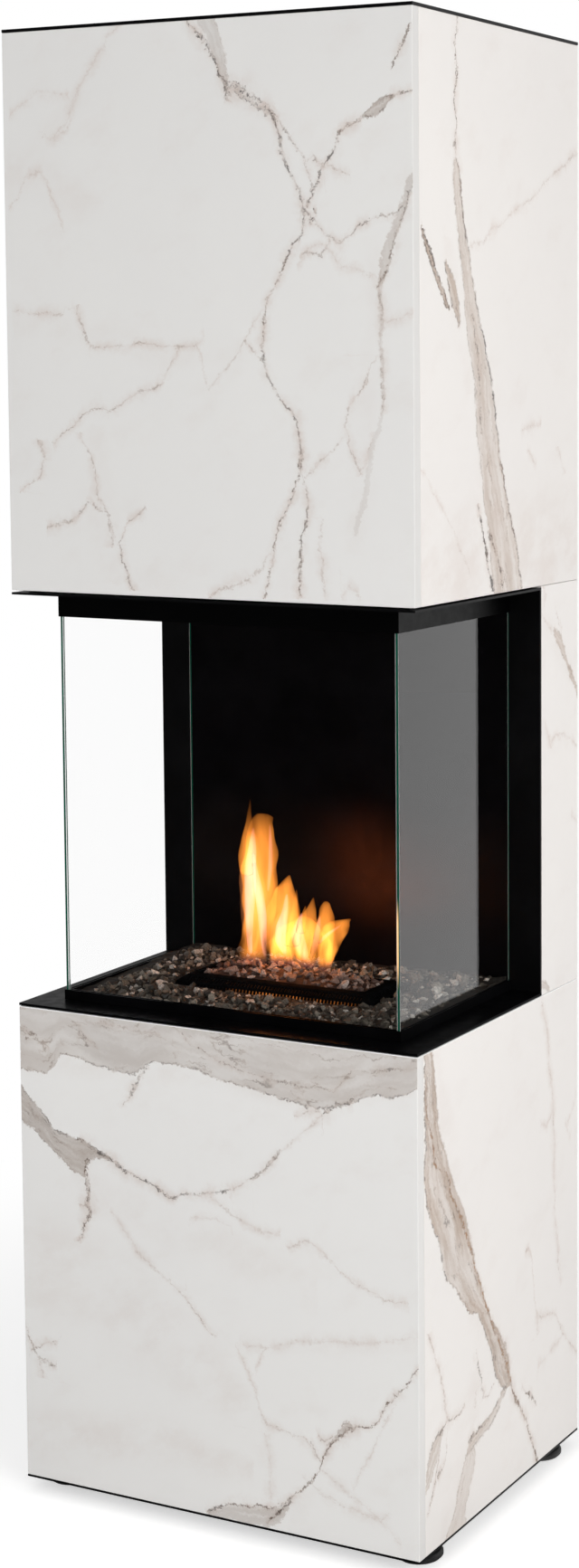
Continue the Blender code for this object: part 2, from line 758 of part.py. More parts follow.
def build_tray_and_gravel():
    wall_x, wall_y = TRAY_HALF_X - TRAY_FLANGE, TRAY_HALF_Y - TRAY_FLANGE
    loops = [
        (wall_x - SHEET, wall_y - SHEET, TRAY_FLOOR + SHEET),
        (wall_x - SHEET, wall_y - SHEET, TRAY_FLANGE_TOP),
        (TRAY_HALF_X, TRAY_HALF_Y, TRAY_FLANGE_TOP),
        (TRAY_HALF_X, TRAY_HALF_Y, TRAY_FLANGE_TOP - SHEET),
        (wall_x, wall_y, TRAY_FLANGE_TOP - SHEET),
        (wall_x, wall_y, TRAY_FLOOR),
    ]
    tray = loft_rectangles("gravel_tray", loops, BLACK_FINISH, TRAY_Y)
    clearance = SEAM + SEAM
    hole = slab(
        "tray_pan_cutter",
        (-PAN_HALF_X - clearance, BURNER_Y - PAN_HALF_Y - clearance, TRAY_FLOOR - OVERRUN),
        (PAN_HALF_X + clearance, BURNER_Y + PAN_HALF_Y + clearance, TRAY_FLOOR + OVERRUN),
        None,
    )
    boolean(tray, hole)

    gravel = bed_surface(
        "gravel_bed",
        TRAY_HALF_X - BED_CLEARANCE,
        TRAY_FRONT + BED_CLEARANCE,
        TRAY_REAR - BED_CLEARANCE,
        TRAY_FLANGE_TOP + SEAM,
        gravel_level,
        GRAVEL_LUMP,
        GRAVEL_STONE_PITCH,
        GRAVEL_FINISH,
    )
    fill_x, fill_y = wall_x - SHEET - BED_CLEARANCE, wall_y - SHEET - BED_CLEARANCE
    fill = slab(
        "gravel_fill",
        (-fill_x, TRAY_Y - fill_y, TRAY_FLOOR + SHEET + SEAM),
        (fill_x, TRAY_Y + fill_y, TRAY_FLANGE_TOP + OVERRUN),
        None,
    )
    boolean(gravel, fill, "UNION")
    ring_x = BURNER_HALF_X + BURNER_BELLY + BED_CLEARANCE
    ring_y = BURNER_HALF_Y + BURNER_BELLY + BED_CLEARANCE
    burner_space = slab(
        "gravel_burner_cutter",
        (-ring_x, BURNER_Y - ring_y, TRAY_FLOOR - OVERRUN),
        (ring_x, BURNER_Y + ring_y, BURNER_RIM + OVERRUN),
        None,
    )
    boolean(gravel, burner_space)
    pilot_y = BURNER_Y + ring_y + PILOT_GAP + PILOT_CAP_RADIUS
    pilot_place = (PILOT_OFFSET, pilot_y, TRAY_FLOOR + SHEET + SEAM)
    pilot_low, pilot_high = -OVERRUN, PILOT_HEIGHT + OVERRUN
    pilot_room = PILOT_CAP_RADIUS + BED_CLEARANCE
    boolean(
        gravel, prism("pilot_cutter", pilot_room, pilot_low, pilot_high, 24, None, pilot_place)
    )
    profile = [
        (0.0, PILOT_HEIGHT),
        (PILOT_CAP_RADIUS, PILOT_HEIGHT),
        (PILOT_CAP_RADIUS, PILOT_HEIGHT - PILOT_CAP_HEIGHT),
        (PILOT_RADIUS, PILOT_HEIGHT - PILOT_CAP_HEIGHT),
        (PILOT_RADIUS, 0.0),
        (0.0, 0.0),
    ]
    turned("pilot_burner", profile, ZINC_FINISH, pilot_place, 24)


def build_hood():
    stone_panels("hood", HOOD_LOW, HOOD_TOP)
    back_panel("hood", HOOD_LOW, HOOD_TOP)
    inner_hole = circle(0.0, 0.0, FLUE_INNER_RADIUS + FLUE_CLEARANCE, FLUE_STEPS)
    air_ring = circle(0.0, 0.0, (FLUE_INNER_RADIUS + FLUE_OUTER_RADIUS) / 2, AIR_HOLES)
    air_holes = [circle(x, y, AIR_HOLE_RADIUS, 16) for x, y in air_ring]
    outer_hole = circle(0.0, 0.0, FLUE_OUTER_RADIUS + FLUE_CLEARANCE, FLUE_STEPS)
    holes = [inner_hole, *air_holes]
    cut_plate("hood_plate", shelf_outline(), holes, HOOD_PLATE_LOW, HOOD_PLATE, BLACK_FINISH)
    cut_plate("top_plate", rectangle(SIDE, REAR), [outer_hole], TOP_PLATE_LOW, TOP_PLATE, BLACK_FINISH)
    low, high = HOOD_PLATE_TOP + SEAM, TOP_PLATE_LOW - SEAM
    for side, sign_x in (("left", -1), ("right", 1)):
        for end, sign_y in (("front", -1), ("rear", 1)):
            corner_post(f"hood_post_{end}_{side}", sign_x, sign_y, low, high)


def build_flue():
    centre = (0.0, 0.0, 0.0)
    top = TOP_PLATE_TOP
    pipe_wall(
        "flue_outer", FLUE_OUTER_RADIUS, FLUE_SHEET, HOOD_PLATE_TOP + SEAM, top, ZINC_FINISH, centre
    )
    inner_low = HOOD_PLATE_LOW - FLUE_INNER_DROP
    pipe_wall("flue_inner", FLUE_INNER_RADIUS, FLUE_SHEET, inner_low, top, ZINC_FINISH, centre)
    half, foot = BAFFLE_WIDTH / 2, BAFFLE_FOOT
    high = HOOD_PLATE_LOW - SEAM
    low = high - BAFFLE_DROP
    outline = [
        (-half - foot, high),
        (-half - foot, high - SHEET),
        (-half, high - SHEET),
        (-half, low),
        (half, low),
        (half, high - SHEET),
        (half + foot, high - SHEET),
        (half + foot, high),
        (half - SHEET, high),
        (half - SHEET, low + SHEET),
        (-half + SHEET, low + SHEET),
        (-half + SHEET, high),
    ]
    cut_plate("flue_baffle", outline, [], -BAFFLE_LENGTH / 2, BAFFLE_LENGTH, BLACK_FINISH, upright=True)


def lay_back(obj):
    """Turns an upright piece to point backwards, with its foot at the front of the gas inlet."""
    obj.rotation_euler = (-math.pi / 2, 0.0, 0.0)
    obj.location = (INLET_X, INLET_FRONT, INLET_Z)


def build_gas_inlet():
    """A hexagon union inside the back panel, with its spigot through the panel and flush with it."""
    spigot_end = REAR - INLET_FRONT
    profile = [
        (0.0, spigot_end),
        (INLET_RADIUS - INLET_CHAMFER, spigot_end),
        (INLET_RADIUS, spigot_end - INLET_CHAMFER),
        (INLET_RADIUS, INLET_HEX_LENGTH / 2),
        (0.0, INLET_HEX_LENGTH / 2),
    ]
    spigot = turned("gas_inlet", profile, BRASS_FINISH, steps=24)
    lay_back(spigot)
    hexagon = prism("gas_inlet_hexagon", INLET_HEX_RADIUS, 0.0, INLET_HEX_LENGTH, 6, None, (0.0, 0.0, 0.0))
    for vert in hexagon.data.vertices:
        vert.co.z += INLET_HEX_LENGTH / 2
    lay_back(hexagon)
    boolean(spigot, hexagon, "UNION")


def build_gas_train():
    valve_y = FRONT + VALVE_SETBACK
    floor = BASE_PLATE_TOP + SEAM
    shelf = floor + BRACKET_HEIGHT
    half = VALVE_WIDTH / 2 + BRACKET_MARGIN
    outline = [
        (-half - BRACKET_FOOT, floor),
        (-half, floor),
        (-half, shelf - SHEET),
        (half, shelf - SHEET),
        (half, floor),
        (half + BRACKET_FOOT, floor),
        (half + BRACKET_FOOT, floor + SHEET),
        (half + SHEET, floor + SHEET),
        (half + SHEET, shelf),
        (-half - SHEET, shelf),
        (-half - SHEET, floor + SHEET),
        (-half - BRACKET_FOOT, floor + SHEET),
    ]
    depth = VALVE_DEPTH + BRACKET_MARGIN + BRACKET_MARGIN
    cut_plate("valve_bracket", outline, [], valve_y - depth / 2, depth, ZINC_FINISH, upright=True)
    valve_low = shelf + SEAM
    valve_top = valve_low + VALVE_HEIGHT
    slab(
        "gas_valve",
        (-VALVE_WIDTH / 2, valve_y - VALVE_DEPTH / 2, valve_low),
        (VALVE_WIDTH / 2, valve_y + VALVE_DEPTH / 2, valve_top),
        ALUMINIUM_FINISH,
        VALVE_BEVEL,
        segments=2,
    )
    pipe_x = VALVE_WIDTH / 4
    rise = valve_top + PIPE_BEND
    tube(
        "burner_pipe",
        [
            (pipe_x, valve_y, valve_top + SEAM),
            (pipe_x, valve_y, rise),
            (0.0, BURNER_Y, rise + PIPE_BEND),
            (0.0, BURNER_Y, PAN_LOW + SHEET),
        ],
        PIPE_RADIUS,
        PIPE_ROUND,
        BRASS_FINISH,
    )
    supply_z = valve_low + VALVE_HEIGHT / 2
    tube(
        "supply_pipe",
        [
            (VALVE_WIDTH / 2 + SEAM, valve_y, supply_z),
            (INLET_X, valve_y, supply_z),
            (INLET_X, valve_y + PIPE_BEND, INLET_Z),
            (INLET_X, INLET_FRONT - SEAM, INLET_Z),
        ],
        PIPE_RADIUS,
        PIPE_ROUND,
        BRASS_FINISH,
    )
    slab(
        "control_box",
        (CONTROL_OFFSET - CONTROL_WIDTH / 2, valve_y - CONTROL_DEPTH / 2, floor),
        (CONTROL_OFFSET + CONTROL_WIDTH / 2, valve_y + CONTROL_DEPTH / 2, floor + CONTROL_HEIGHT),
        PLASTIC_FINISH,
        CONTROL_BEVEL,
        segments=2,
    )


clear_scene()
PARTS = new_collection("gas_fireplace")
CUTTERS = new_collection("cutters")
build_base()
build_feet()
build_column()
build_chamber()
build_burner()
build_tray_and_gravel()
build_hood()
build_flue()
build_gas_inlet()
build_gas_train()
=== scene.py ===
import math
import random

import bmesh
import bpy
from mathutils import Matrix, Vector
from mathutils.bvhtree import BVHTree


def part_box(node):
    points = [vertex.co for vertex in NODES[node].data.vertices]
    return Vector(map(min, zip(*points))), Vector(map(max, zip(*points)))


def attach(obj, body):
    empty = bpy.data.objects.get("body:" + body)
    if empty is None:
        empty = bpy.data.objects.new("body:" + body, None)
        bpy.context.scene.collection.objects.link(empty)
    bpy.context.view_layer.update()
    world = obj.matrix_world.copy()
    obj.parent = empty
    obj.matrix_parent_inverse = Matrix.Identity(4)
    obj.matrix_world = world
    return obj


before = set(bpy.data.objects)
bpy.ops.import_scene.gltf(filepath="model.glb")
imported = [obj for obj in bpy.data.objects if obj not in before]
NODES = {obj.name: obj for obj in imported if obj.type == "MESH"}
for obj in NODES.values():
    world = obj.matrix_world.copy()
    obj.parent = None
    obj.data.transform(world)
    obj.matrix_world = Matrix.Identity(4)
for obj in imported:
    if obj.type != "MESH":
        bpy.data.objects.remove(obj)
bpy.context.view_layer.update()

MM = 0.001

# Places on the CAD, in metres. The vein tables count heights from the panels' lowest edge and depths from
# the front face. The left panels show the right ones' veins turned half round, so their depths count back.
PANEL_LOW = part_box("base_front_panel")[0].z
BASE_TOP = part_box("base_front_panel")[1].z
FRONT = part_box("base_front_panel")[0].y
TURNED_FROM = 0.5
GLASS_CORNER_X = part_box("glass_right")[0].x - 0.5 * MM

# The gravel tray's flange, and the burner's surround with its width on each side of its opening.
TRAY_FLANGE = 0.012
SURROUND = 0.024
SURROUND_LOW, SURROUND_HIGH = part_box("burner_surround")
BURNER_Y = (SURROUND_LOW.y + SURROUND_HIGH.y) / 2
BURNER_RIM = SURROUND_HIGH.z
OPENING_X = SURROUND_HIGH.x - SURROUND
OPENING_Y = SURROUND_HIGH.y - BURNER_Y - SURROUND

# The photograph's camera, in metres, degrees, millimetres and shares of the frame.
CAMERA_PLACE = (1.8775, -3.1488, 1.5691)
CAMERA_TURN = (84.982, 0.128, 26.537)
LENS = 60.93
SHIFT = (-0.1327, -0.1229)

WHITE = (1.0, 1.0, 1.0)
MID_GREY = (0.5, 0.5, 0.5)
ENDS = ("front", "rear")
SIDES = ("left", "right")


# Node and material helpers

class Value:
    """What a node gives out. Arithmetic on it adds the nodes that work it out."""

    def __init__(self, tree, socket):
        self.tree = tree
        self.socket = socket

    def __add__(self, other):
        return self.tree.math("ADD", self, other)

    def __sub__(self, other):
        return self.tree.math("SUBTRACT", self, other)

    def __rsub__(self, other):
        return self.tree.math("SUBTRACT", other, self)

    def __mul__(self, other):
        return self.tree.math("MULTIPLY", self, other)

    def __truediv__(self, other):
        return self.tree.math("DIVIDE", self, other)

    def __pow__(self, other):
        return self.tree.math("POWER", self, other)

    def __abs__(self):
        return self.tree.math("ABSOLUTE", self)

    def times_plus(self, factor, more):
        return self.tree.math("MULTIPLY_ADD", self, factor, more)

    def at_least(self, other):
        return self.tree.math("MAXIMUM", self, other)

    def at_most(self, other):
        return self.tree.math("MINIMUM", self, other)

    def over(self, limit):
        return self.tree.math("GREATER_THAN", self, limit)

    def within(self, middle, reach):
        return self.tree.math("COMPARE", self, middle, reach)

    def clamped(self):
        """Keeps what this value's own node gives out between 0 and 1."""
        self.socket.node.use_clamp = True
        return self

    def span(self, low, high, to_low=0.0, to_high=1.0, kind="SMOOTHSTEP"):
        """The way from low to high turned into the way between two other numbers, and flat beyond."""
        return self.tree.give("MapRange", self, low, high, to_low, to_high, interpolation_type=kind)

    def blend(self, a, b):
        """This share of the way from one number to another."""
        return self.span(0.0, 1.0, a, b, kind="LINEAR")


class Tree:
    """The nodes of one material, with its shader and the place of each point on the object."""

    def __init__(self, nodes, owner=None):
        self.tree = nodes
        self.material = owner
        self.shader = nodes.nodes.get("Principled BSDF")
        self.place = self.give("TexCoord", output="Object")

    def put(self, socket, value):
        if isinstance(value, Value):
            self.tree.links.new(value.socket, socket)
        elif value is not None:
            socket.default_value = value

    def give(self, kind, *values, output=0, **settings):
        """What a new node gives out. Its values are numbers, tuples, or what other nodes give out."""
        made = self.tree.nodes.new("ShaderNode" + kind)
        for key, value in settings.items():
            setattr(made, key, value)
        for socket, value in zip(made.inputs, values):
            self.put(socket, value)
        return Value(self, made.outputs[output])

    def set(self, values):
        """Sets the shader's own inputs by name."""
        for name, value in values.items():
            self.put(self.shader.inputs[name], value)

    def math(self, operation, *values):
        vectors = any(isinstance(v, Value) and v.socket.type != "VALUE" for v in values)
        return self.give("VectorMath" if vectors else "Math", *values, operation=operation)

    def split(self, vector):
        node = self.give("SeparateXYZ", vector).socket.node
        return [Value(self, output) for output in node.outputs]

    def joined(self, x, y, z=None):
        return self.give("CombineXYZ", x, y, z)

    def noise(self, scale, detail=2.0, roughness=0.5, place=None, output="Fac"):
        return self.give("TexNoise", place or self.place, None, scale, detail, roughness, output=output)

    def drift(self, scale, detail, roughness, reach):
        """An uneven push of about this reach along each axis."""
        push = self.noise(scale, detail, roughness, output="Color") - MID_GREY
        return push * reach

    def mix(self, factor, a, b):
        node = self.give("Mix", factor, data_type="RGBA").socket.node
        for socket, colour in zip(node.inputs[6:8], (a, b)):
            self.put(socket, colour if isinstance(colour, Value) else (*colour, 1.0))
        return Value(self, node.outputs[2])

    def ramp(self, value, stops):
        made = self.give("ValToRGB", value)
        elements = made.socket.node.color_ramp.elements
        while len(elements) < len(stops):
            elements.new(0.5)
        for element, (position, colour) in zip(elements, stops):
            element.position = position
            element.color = (*colour, 1.0)
        return made

    def curve(self, value, points):
        """A value through a curve of (input, output) points, joined by straight lines."""
        made = self.give("FloatCurve", 1.0, value)
        mapping = made.socket.node.mapping
        curve = mapping.curves[0]
        while len(curve.points) < len(points):
            curve.points.new(0.5, 0.5)
        for point, place in zip(curve.points, points):
            point.location = place
            point.handle_type = "VECTOR"
        mapping.update()
        return made

    def bump(self, height, strength, distance):
        node = self.give("Bump", strength, distance).socket.node
        self.put(node.inputs["Height"], height)
        self.set({"Normal": Value(self, node.outputs[0])})


def new_tree(name):
    material = bpy.data.materials.new(name)
    material.use_nodes = True
    return Tree(material.node_tree, material)


def dress(material, *names):
    for name in names:
        for slot in NODES[name].material_slots:
            slot.material = material


def link(obj):
    bpy.context.scene.collection.objects.link(obj)
    return obj


def bridge(bm, pairs):
    """Faces between the closed loops of vertices in each pair."""
    for first, second in pairs:
        for i in range(len(first)):
            j = (i + 1) % len(first)
            bm.faces.new((first[i], first[j], second[j], second[i]))


def mesh_from(name, bm):
    mesh = bpy.data.meshes.new(name)
    bm.to_mesh(mesh)
    bm.free()
    return mesh


def new_piece(name, mesh, material, smooth=False):
    for polygon in mesh.polygons:
        polygon.use_smooth = smooth
    mesh.materials.append(material)
    obj = link(bpy.data.objects.new(name, mesh))
    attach(obj, "root")
    return obj


# Marble: each vein is a row of (place along it, place across, half width), in millimetres on its panel.
# Across the front panels the first axis is x from the middle, and on the side panels it is y from the front.

def steep(darkness, *points, gold=0.0, rims=(1.0, 1.0)):
    """A vein that runs mostly up and down: its points are (height, place across, half width)."""
    return "steep", darkness, points, gold, rims


def flat(darkness, *points, gold=0.0, rims=(1.0, 1.0)):
    """A vein that runs mostly sideways: its points are (place, height, half width)."""
    return "flat", darkness, points, gold, rims


HOOD_FRONT = {
    "lines": [
        steep(0.95, (1984, -22, 1), (1968, -6, 1.4), (1955, 4, 2.2), (1945, 10, 2.8), (1936, 17, 3),
            (1925, 25, 2), (1912, 32, 1.8), (1900, 37, 2), (1888, 39, 3.4), (1877, 38, 1.6)),
        flat(0.95, (36, 1883, 3.5), (42, 1889, 6), (52, 1889, 5.5), (62, 1886, 6), (74, 1881, 6.5),
            (84, 1875, 7), (95, 1868, 7), (104, 1860, 6), (112, 1853, 3.5)),
        steep(0.88, (1860, 105, 2), (1845, 112, 3), (1830, 118, 2.4), (1812, 123, 2), (1795, 127, 2),
            (1775, 137, 1.5), (1758, 147, 1.5), (1740, 153, 2), (1722, 155, 1.2), (1705, 150, 1.4),
            (1690, 137, 1.6), (1672, 127, 2), (1655, 117, 1.3), (1640, 112, 1.5), (1625, 100, 1.7),
            (1610, 94, 1.5), (1590, 93, 1.3), (1565, 92, 1.3), (1545, 91, 1.5), (1530, 97, 1.5),
            (1510, 108, 1.1), (1490, 122, 1.2), (1474, 138, 2.2), (1455, 141, 0.8), (1440, 145, 1.1),
            (1425, 148, 2.4), (1405, 145, 1.8), (1392, 140, 1.4), (1375, 133, 1.1), (1350, 121, 1.2),
            (1330, 110, 1.1), (1310, 105, 1.1), (1290, 102, 1), (1262, 95, 1), (1241, 89, 0.8)),
        steep(0.6, (1856, 112, 1.2), (1840, 124, 1), (1825, 135, 1), (1812, 144, 1.6), (1800, 156, 1.2),
            (1780, 163, 1), (1760, 167, 1), (1742, 163, 0.8)),
        flat(0.95, (151, 1733, 1.6), (157, 1733, 2)),
        flat(0.95, (163, 1719, 1.6), (169, 1722, 2)),
        flat(0.95, (169, 1731, 1.6), (174, 1733, 2)),
        steep(0.85, (1786, 184, 2.4), (1795, 190, 1.6), (1806, 197, 1.2), (1818, 203, 1.2),
            (1830, 209, 1.4)),
        flat(0.85, (204, 1828, 1), (216, 1837, 2), (228, 1840, 1.8), (238, 1845, 1.6)),
        flat(0.75, (278, 1870, 1.6), (290, 1873, 1), (311, 1877, 1)),
        flat(0.6, (160, 1797, 1), (166, 1800, 2), (175, 1793, 1.4), (184, 1786, 1.8)),
        steep(0.8, (1786, 183, 1.5), (1775, 177, 1.1), (1762, 171, 1), (1750, 166, 1.1), (1738, 160, 1.3)),
        flat(0.45, (188, 1790, 0.8), (200, 1782, 1.1), (209, 1780, 0.8), (220, 1776, 0.8)),
        flat(0.7, (158, 1733, 1), (170, 1718, 1.2), (182, 1704, 1), (192, 1699, 1.4), (203, 1692, 1.8),
            (214, 1697, 1.5), (224, 1700, 1), (230, 1710, 1.2), (246, 1718, 1), (262, 1724, 1),
            (284, 1728, 0.9), (296, 1738, 1), (306, 1752, 1)),
        flat(0.6, (150, 1677, 0.6), (158, 1682, 1.1), (168, 1678, 1), (176, 1674, 1.6), (182, 1684, 1.1),
            (190, 1698, 0.9)),
        flat(0.3, (148, 1666, 0.6), (160, 1684, 0.8), (180, 1690, 0.8), (210, 1663, 0.8), (255, 1650, 0.7)),
        steep(0.9, (1752, 306, 1.4), (1725, 296, 1.5), (1700, 287, 1.5), (1675, 280, 1.3), (1655, 272, 1.8),
            (1645, 264, 2.4), (1636, 260, 1.4)),
        steep(0.55, (1636, 262, 1), (1620, 263, 1.6), (1605, 266, 1), (1585, 264, 1.1), (1560, 264, 1),
            (1530, 265, 1), (1500, 266, 1), (1480, 264, 0.8)),
        steep(0.8, (1905, 283, 1), (1925, 291, 1.4), (1940, 299, 1.6), (1955, 308, 2)),
        flat(0.35, (264, 1592, 0.8), (285, 1596, 1), (311, 1604, 0.8)),
        steep(0.5, (1552, 258, 1), (1535, 248, 1.2), (1515, 241, 1.8), (1500, 228, 1.1), (1485, 218, 1.1),
            (1465, 212, 1.1), (1450, 214, 1.1), (1430, 220, 1), (1412, 229, 1.2), (1404, 233, 1)),
        steep(0.3, (1404, 233, 1), (1420, 240, 1.2), (1440, 247, 1.2), (1455, 254, 1)),
        flat(0.5, (152, 1398, 1), (162, 1405, 1.2), (172, 1418, 1.6), (186, 1426, 1.4), (198, 1438, 1.2),
            (212, 1452, 1)),
        steep(0.78, (1402, 147, 1.2), (1385, 153, 1.3), (1368, 156, 1.3), (1350, 155, 1.3), (1330, 151, 2),
            (1312, 147, 2.8), (1300, 144, 1.6), (1285, 143, 3), (1262, 143, 2.4), (1241, 144, 1.2)),
        steep(0.4, (1345, 177, 0.6), (1320, 176, 1), (1305, 173, 1.3), (1290, 178, 1.3), (1262, 179, 1.1),
            (1241, 182, 0.8)),
        flat(0.3, (205, 1246, 1), (213, 1262, 2), (222, 1258, 1.5), (230, 1246, 1)),
        flat(0.4, (-300, 1612, 0.8), (-262, 1608, 1), (-240, 1606, 1.5), (-222, 1606, 1.4), (-212, 1616, 1),
            (-200, 1614, 0.8)),
        steep(0.5, (1616, -196, 1), (1600, -192, 1.4), (1585, -186, 1.6), (1572, -180, 2.4),
            (1563, -172, 1.4)),
        flat(0.5, (-176, 1564, 1.2), (-160, 1563, 1.2), (-130, 1565, 1), (-90, 1568, 0.9), (-60, 1565, 0.9),
            (-30, 1563, 0.9), (-6, 1567, 1.1), (3, 1578, 0.9)),
        flat(0.4, (-5, 1566, 1), (0, 1548, 1.4), (5, 1525, 1.3), (9, 1509, 1.5)),
        flat(0.4, (9, 1508, 1.4), (20, 1520, 1.1), (38, 1536, 1), (52, 1552, 1), (66, 1571, 1.3),
            (76, 1590, 1), (90, 1612, 1)),
        flat(0.6, (66, 1571, 1), (74, 1562, 1.1), (84, 1550, 1.3), (92, 1547, 1)),
        steep(0.4, (1563, -36, 1), (1550, -42, 1.2), (1538, -52, 1.4), (1522, -60, 0.8)),
        flat(0.6, (-238, 1436, 1.2), (-228, 1444, 1.4), (-216, 1450, 1), (-204, 1462, 1.2),
            (-190, 1472, 1.3), (-172, 1480, 1.5), (-158, 1484, 2.2), (-145, 1482, 1.3), (-132, 1486, 1.2),
            (-118, 1494, 1.5), (-104, 1500, 1.2), (-90, 1506, 1.6), (-76, 1510, 1.3), (-62, 1517, 0.8)),
        steep(0.5, (1440, -262, 1.8), (1430, -256, 1.8), (1420, -252, 1.5), (1405, -254, 1.2),
            (1392, -258, 1.4), (1386, -264, 1.8), (1378, -282, 0.8), (1370, -292, 0.6)),
        steep(0.5, (1450, -193, 0.8), (1425, -180, 1.2), (1400, -170, 1.4), (1385, -166, 2),
            (1370, -168, 1.5), (1358, -160, 1.4), (1345, -150, 1.8), (1330, -147, 1.8), (1312, -143, 2),
            (1300, -146, 2.2)),
        steep(0.7, (1300, -134, 1.6), (1285, -130, 1.3), (1270, -124, 1.6), (1255, -118, 1.6),
            (1243, -110, 1)),
        flat(0.65, (-138, 1302, 1.8), (-130, 1308, 1.4), (-124, 1318, 1.4), (-121, 1332, 1.8),
            (-112, 1338, 1.5), (-100, 1344, 1.3), (-92, 1352, 0.8)),
        flat(0.55, (-250, 1323, 1.2), (-240, 1326, 1.5), (-230, 1328, 2.2), (-216, 1332, 1.5),
            (-200, 1338, 1.3), (-188, 1350, 1), (-178, 1362, 1.4), (-170, 1352, 1.2), (-160, 1345, 1)),
        steep(0.25, (1990, -112, 1), (1965, -138, 1.2), (1940, -158, 1.4), (1920, -172, 1.8),
            (1906, -184, 1.6), (1880, -196, 2), (1855, -212, 2.2), (1835, -234, 1.8)),
        flat(0.25, (-250, 1848, 1.2), (-240, 1836, 1.6), (-226, 1836, 1.4), (-208, 1848, 1.6),
            (-200, 1862, 1.4)),
        flat(0.2, (-300, 1872, 0.8), (-275, 1888, 1.6), (-255, 1898, 1.8), (-225, 1898, 1.4),
            (-205, 1892, 1)),
        flat(0.3, (-302, 1752, 1), (-288, 1762, 1.8), (-280, 1778, 1.6), (-268, 1792, 1.8),
            (-250, 1796, 2.2), (-242, 1785, 3), (-236, 1765, 3), (-224, 1745, 2.4), (-216, 1722, 2)),
        flat(0.45, (5, 1241, 1.2), (20, 1248, 1.5), (40, 1255, 2.6), (52, 1258, 1.8), (66, 1266, 1.8),
            (80, 1274, 2.4), (90, 1284, 1.4), (100, 1302, 1)),
    ],
    "bands": [
        steep(0.4, (1990, 5, 11), (1968, 15, 12), (1955, 21, 12), (1940, 27, 11), (1925, 32, 8),
            (1910, 37, 5), (1895, 40, 3), (1886, 42, 1), rims=(0.4, 1.1)),
        flat(0.75, (236, 1845, 0), (245, 1850, 4), (255, 1856, 7), (265, 1861, 8), (275, 1867, 6),
            (284, 1871, 1), rims=(1.3, 1.3)),
        steep(0.5, (1780, 314, 4), (1750, 301, 5), (1725, 290, 6), (1700, 281, 6), (1675, 272, 7),
            (1655, 267, 6), (1638, 262, 3), rims=(0.7, 1.3)),
        steep(0.25, (1645, 262, 4), (1600, 264, 4), (1560, 264, 4), (1500, 266, 3), (1460, 262, 3),
            (1440, 250, 4), (1400, 244, 5), (1360, 236, 5), (1325, 224, 3), rims=(0.0, 0.0)),
    ],
    "clouds": [
        flat(0.5, (-310, 1800, 40), (-260, 1800, 50), (-200, 1760, 50), (-150, 1740, 20)),
        steep(0.4, (1980, -120, 20), (1880, -200, 35), (1820, -260, 40)),
        flat(0.4, (-300, 1600, 30), (-180, 1590, 40), (-60, 1550, 30), (60, 1560, 24)),
        steep(0.5, (1460, -170, 24), (1360, -165, 40), (1250, -140, 40)),
        steep(0.4, (1700, 250, 20), (1600, 262, 26), (1480, 240, 30), (1380, 236, 30), (1300, 220, 20)),
    ],
}
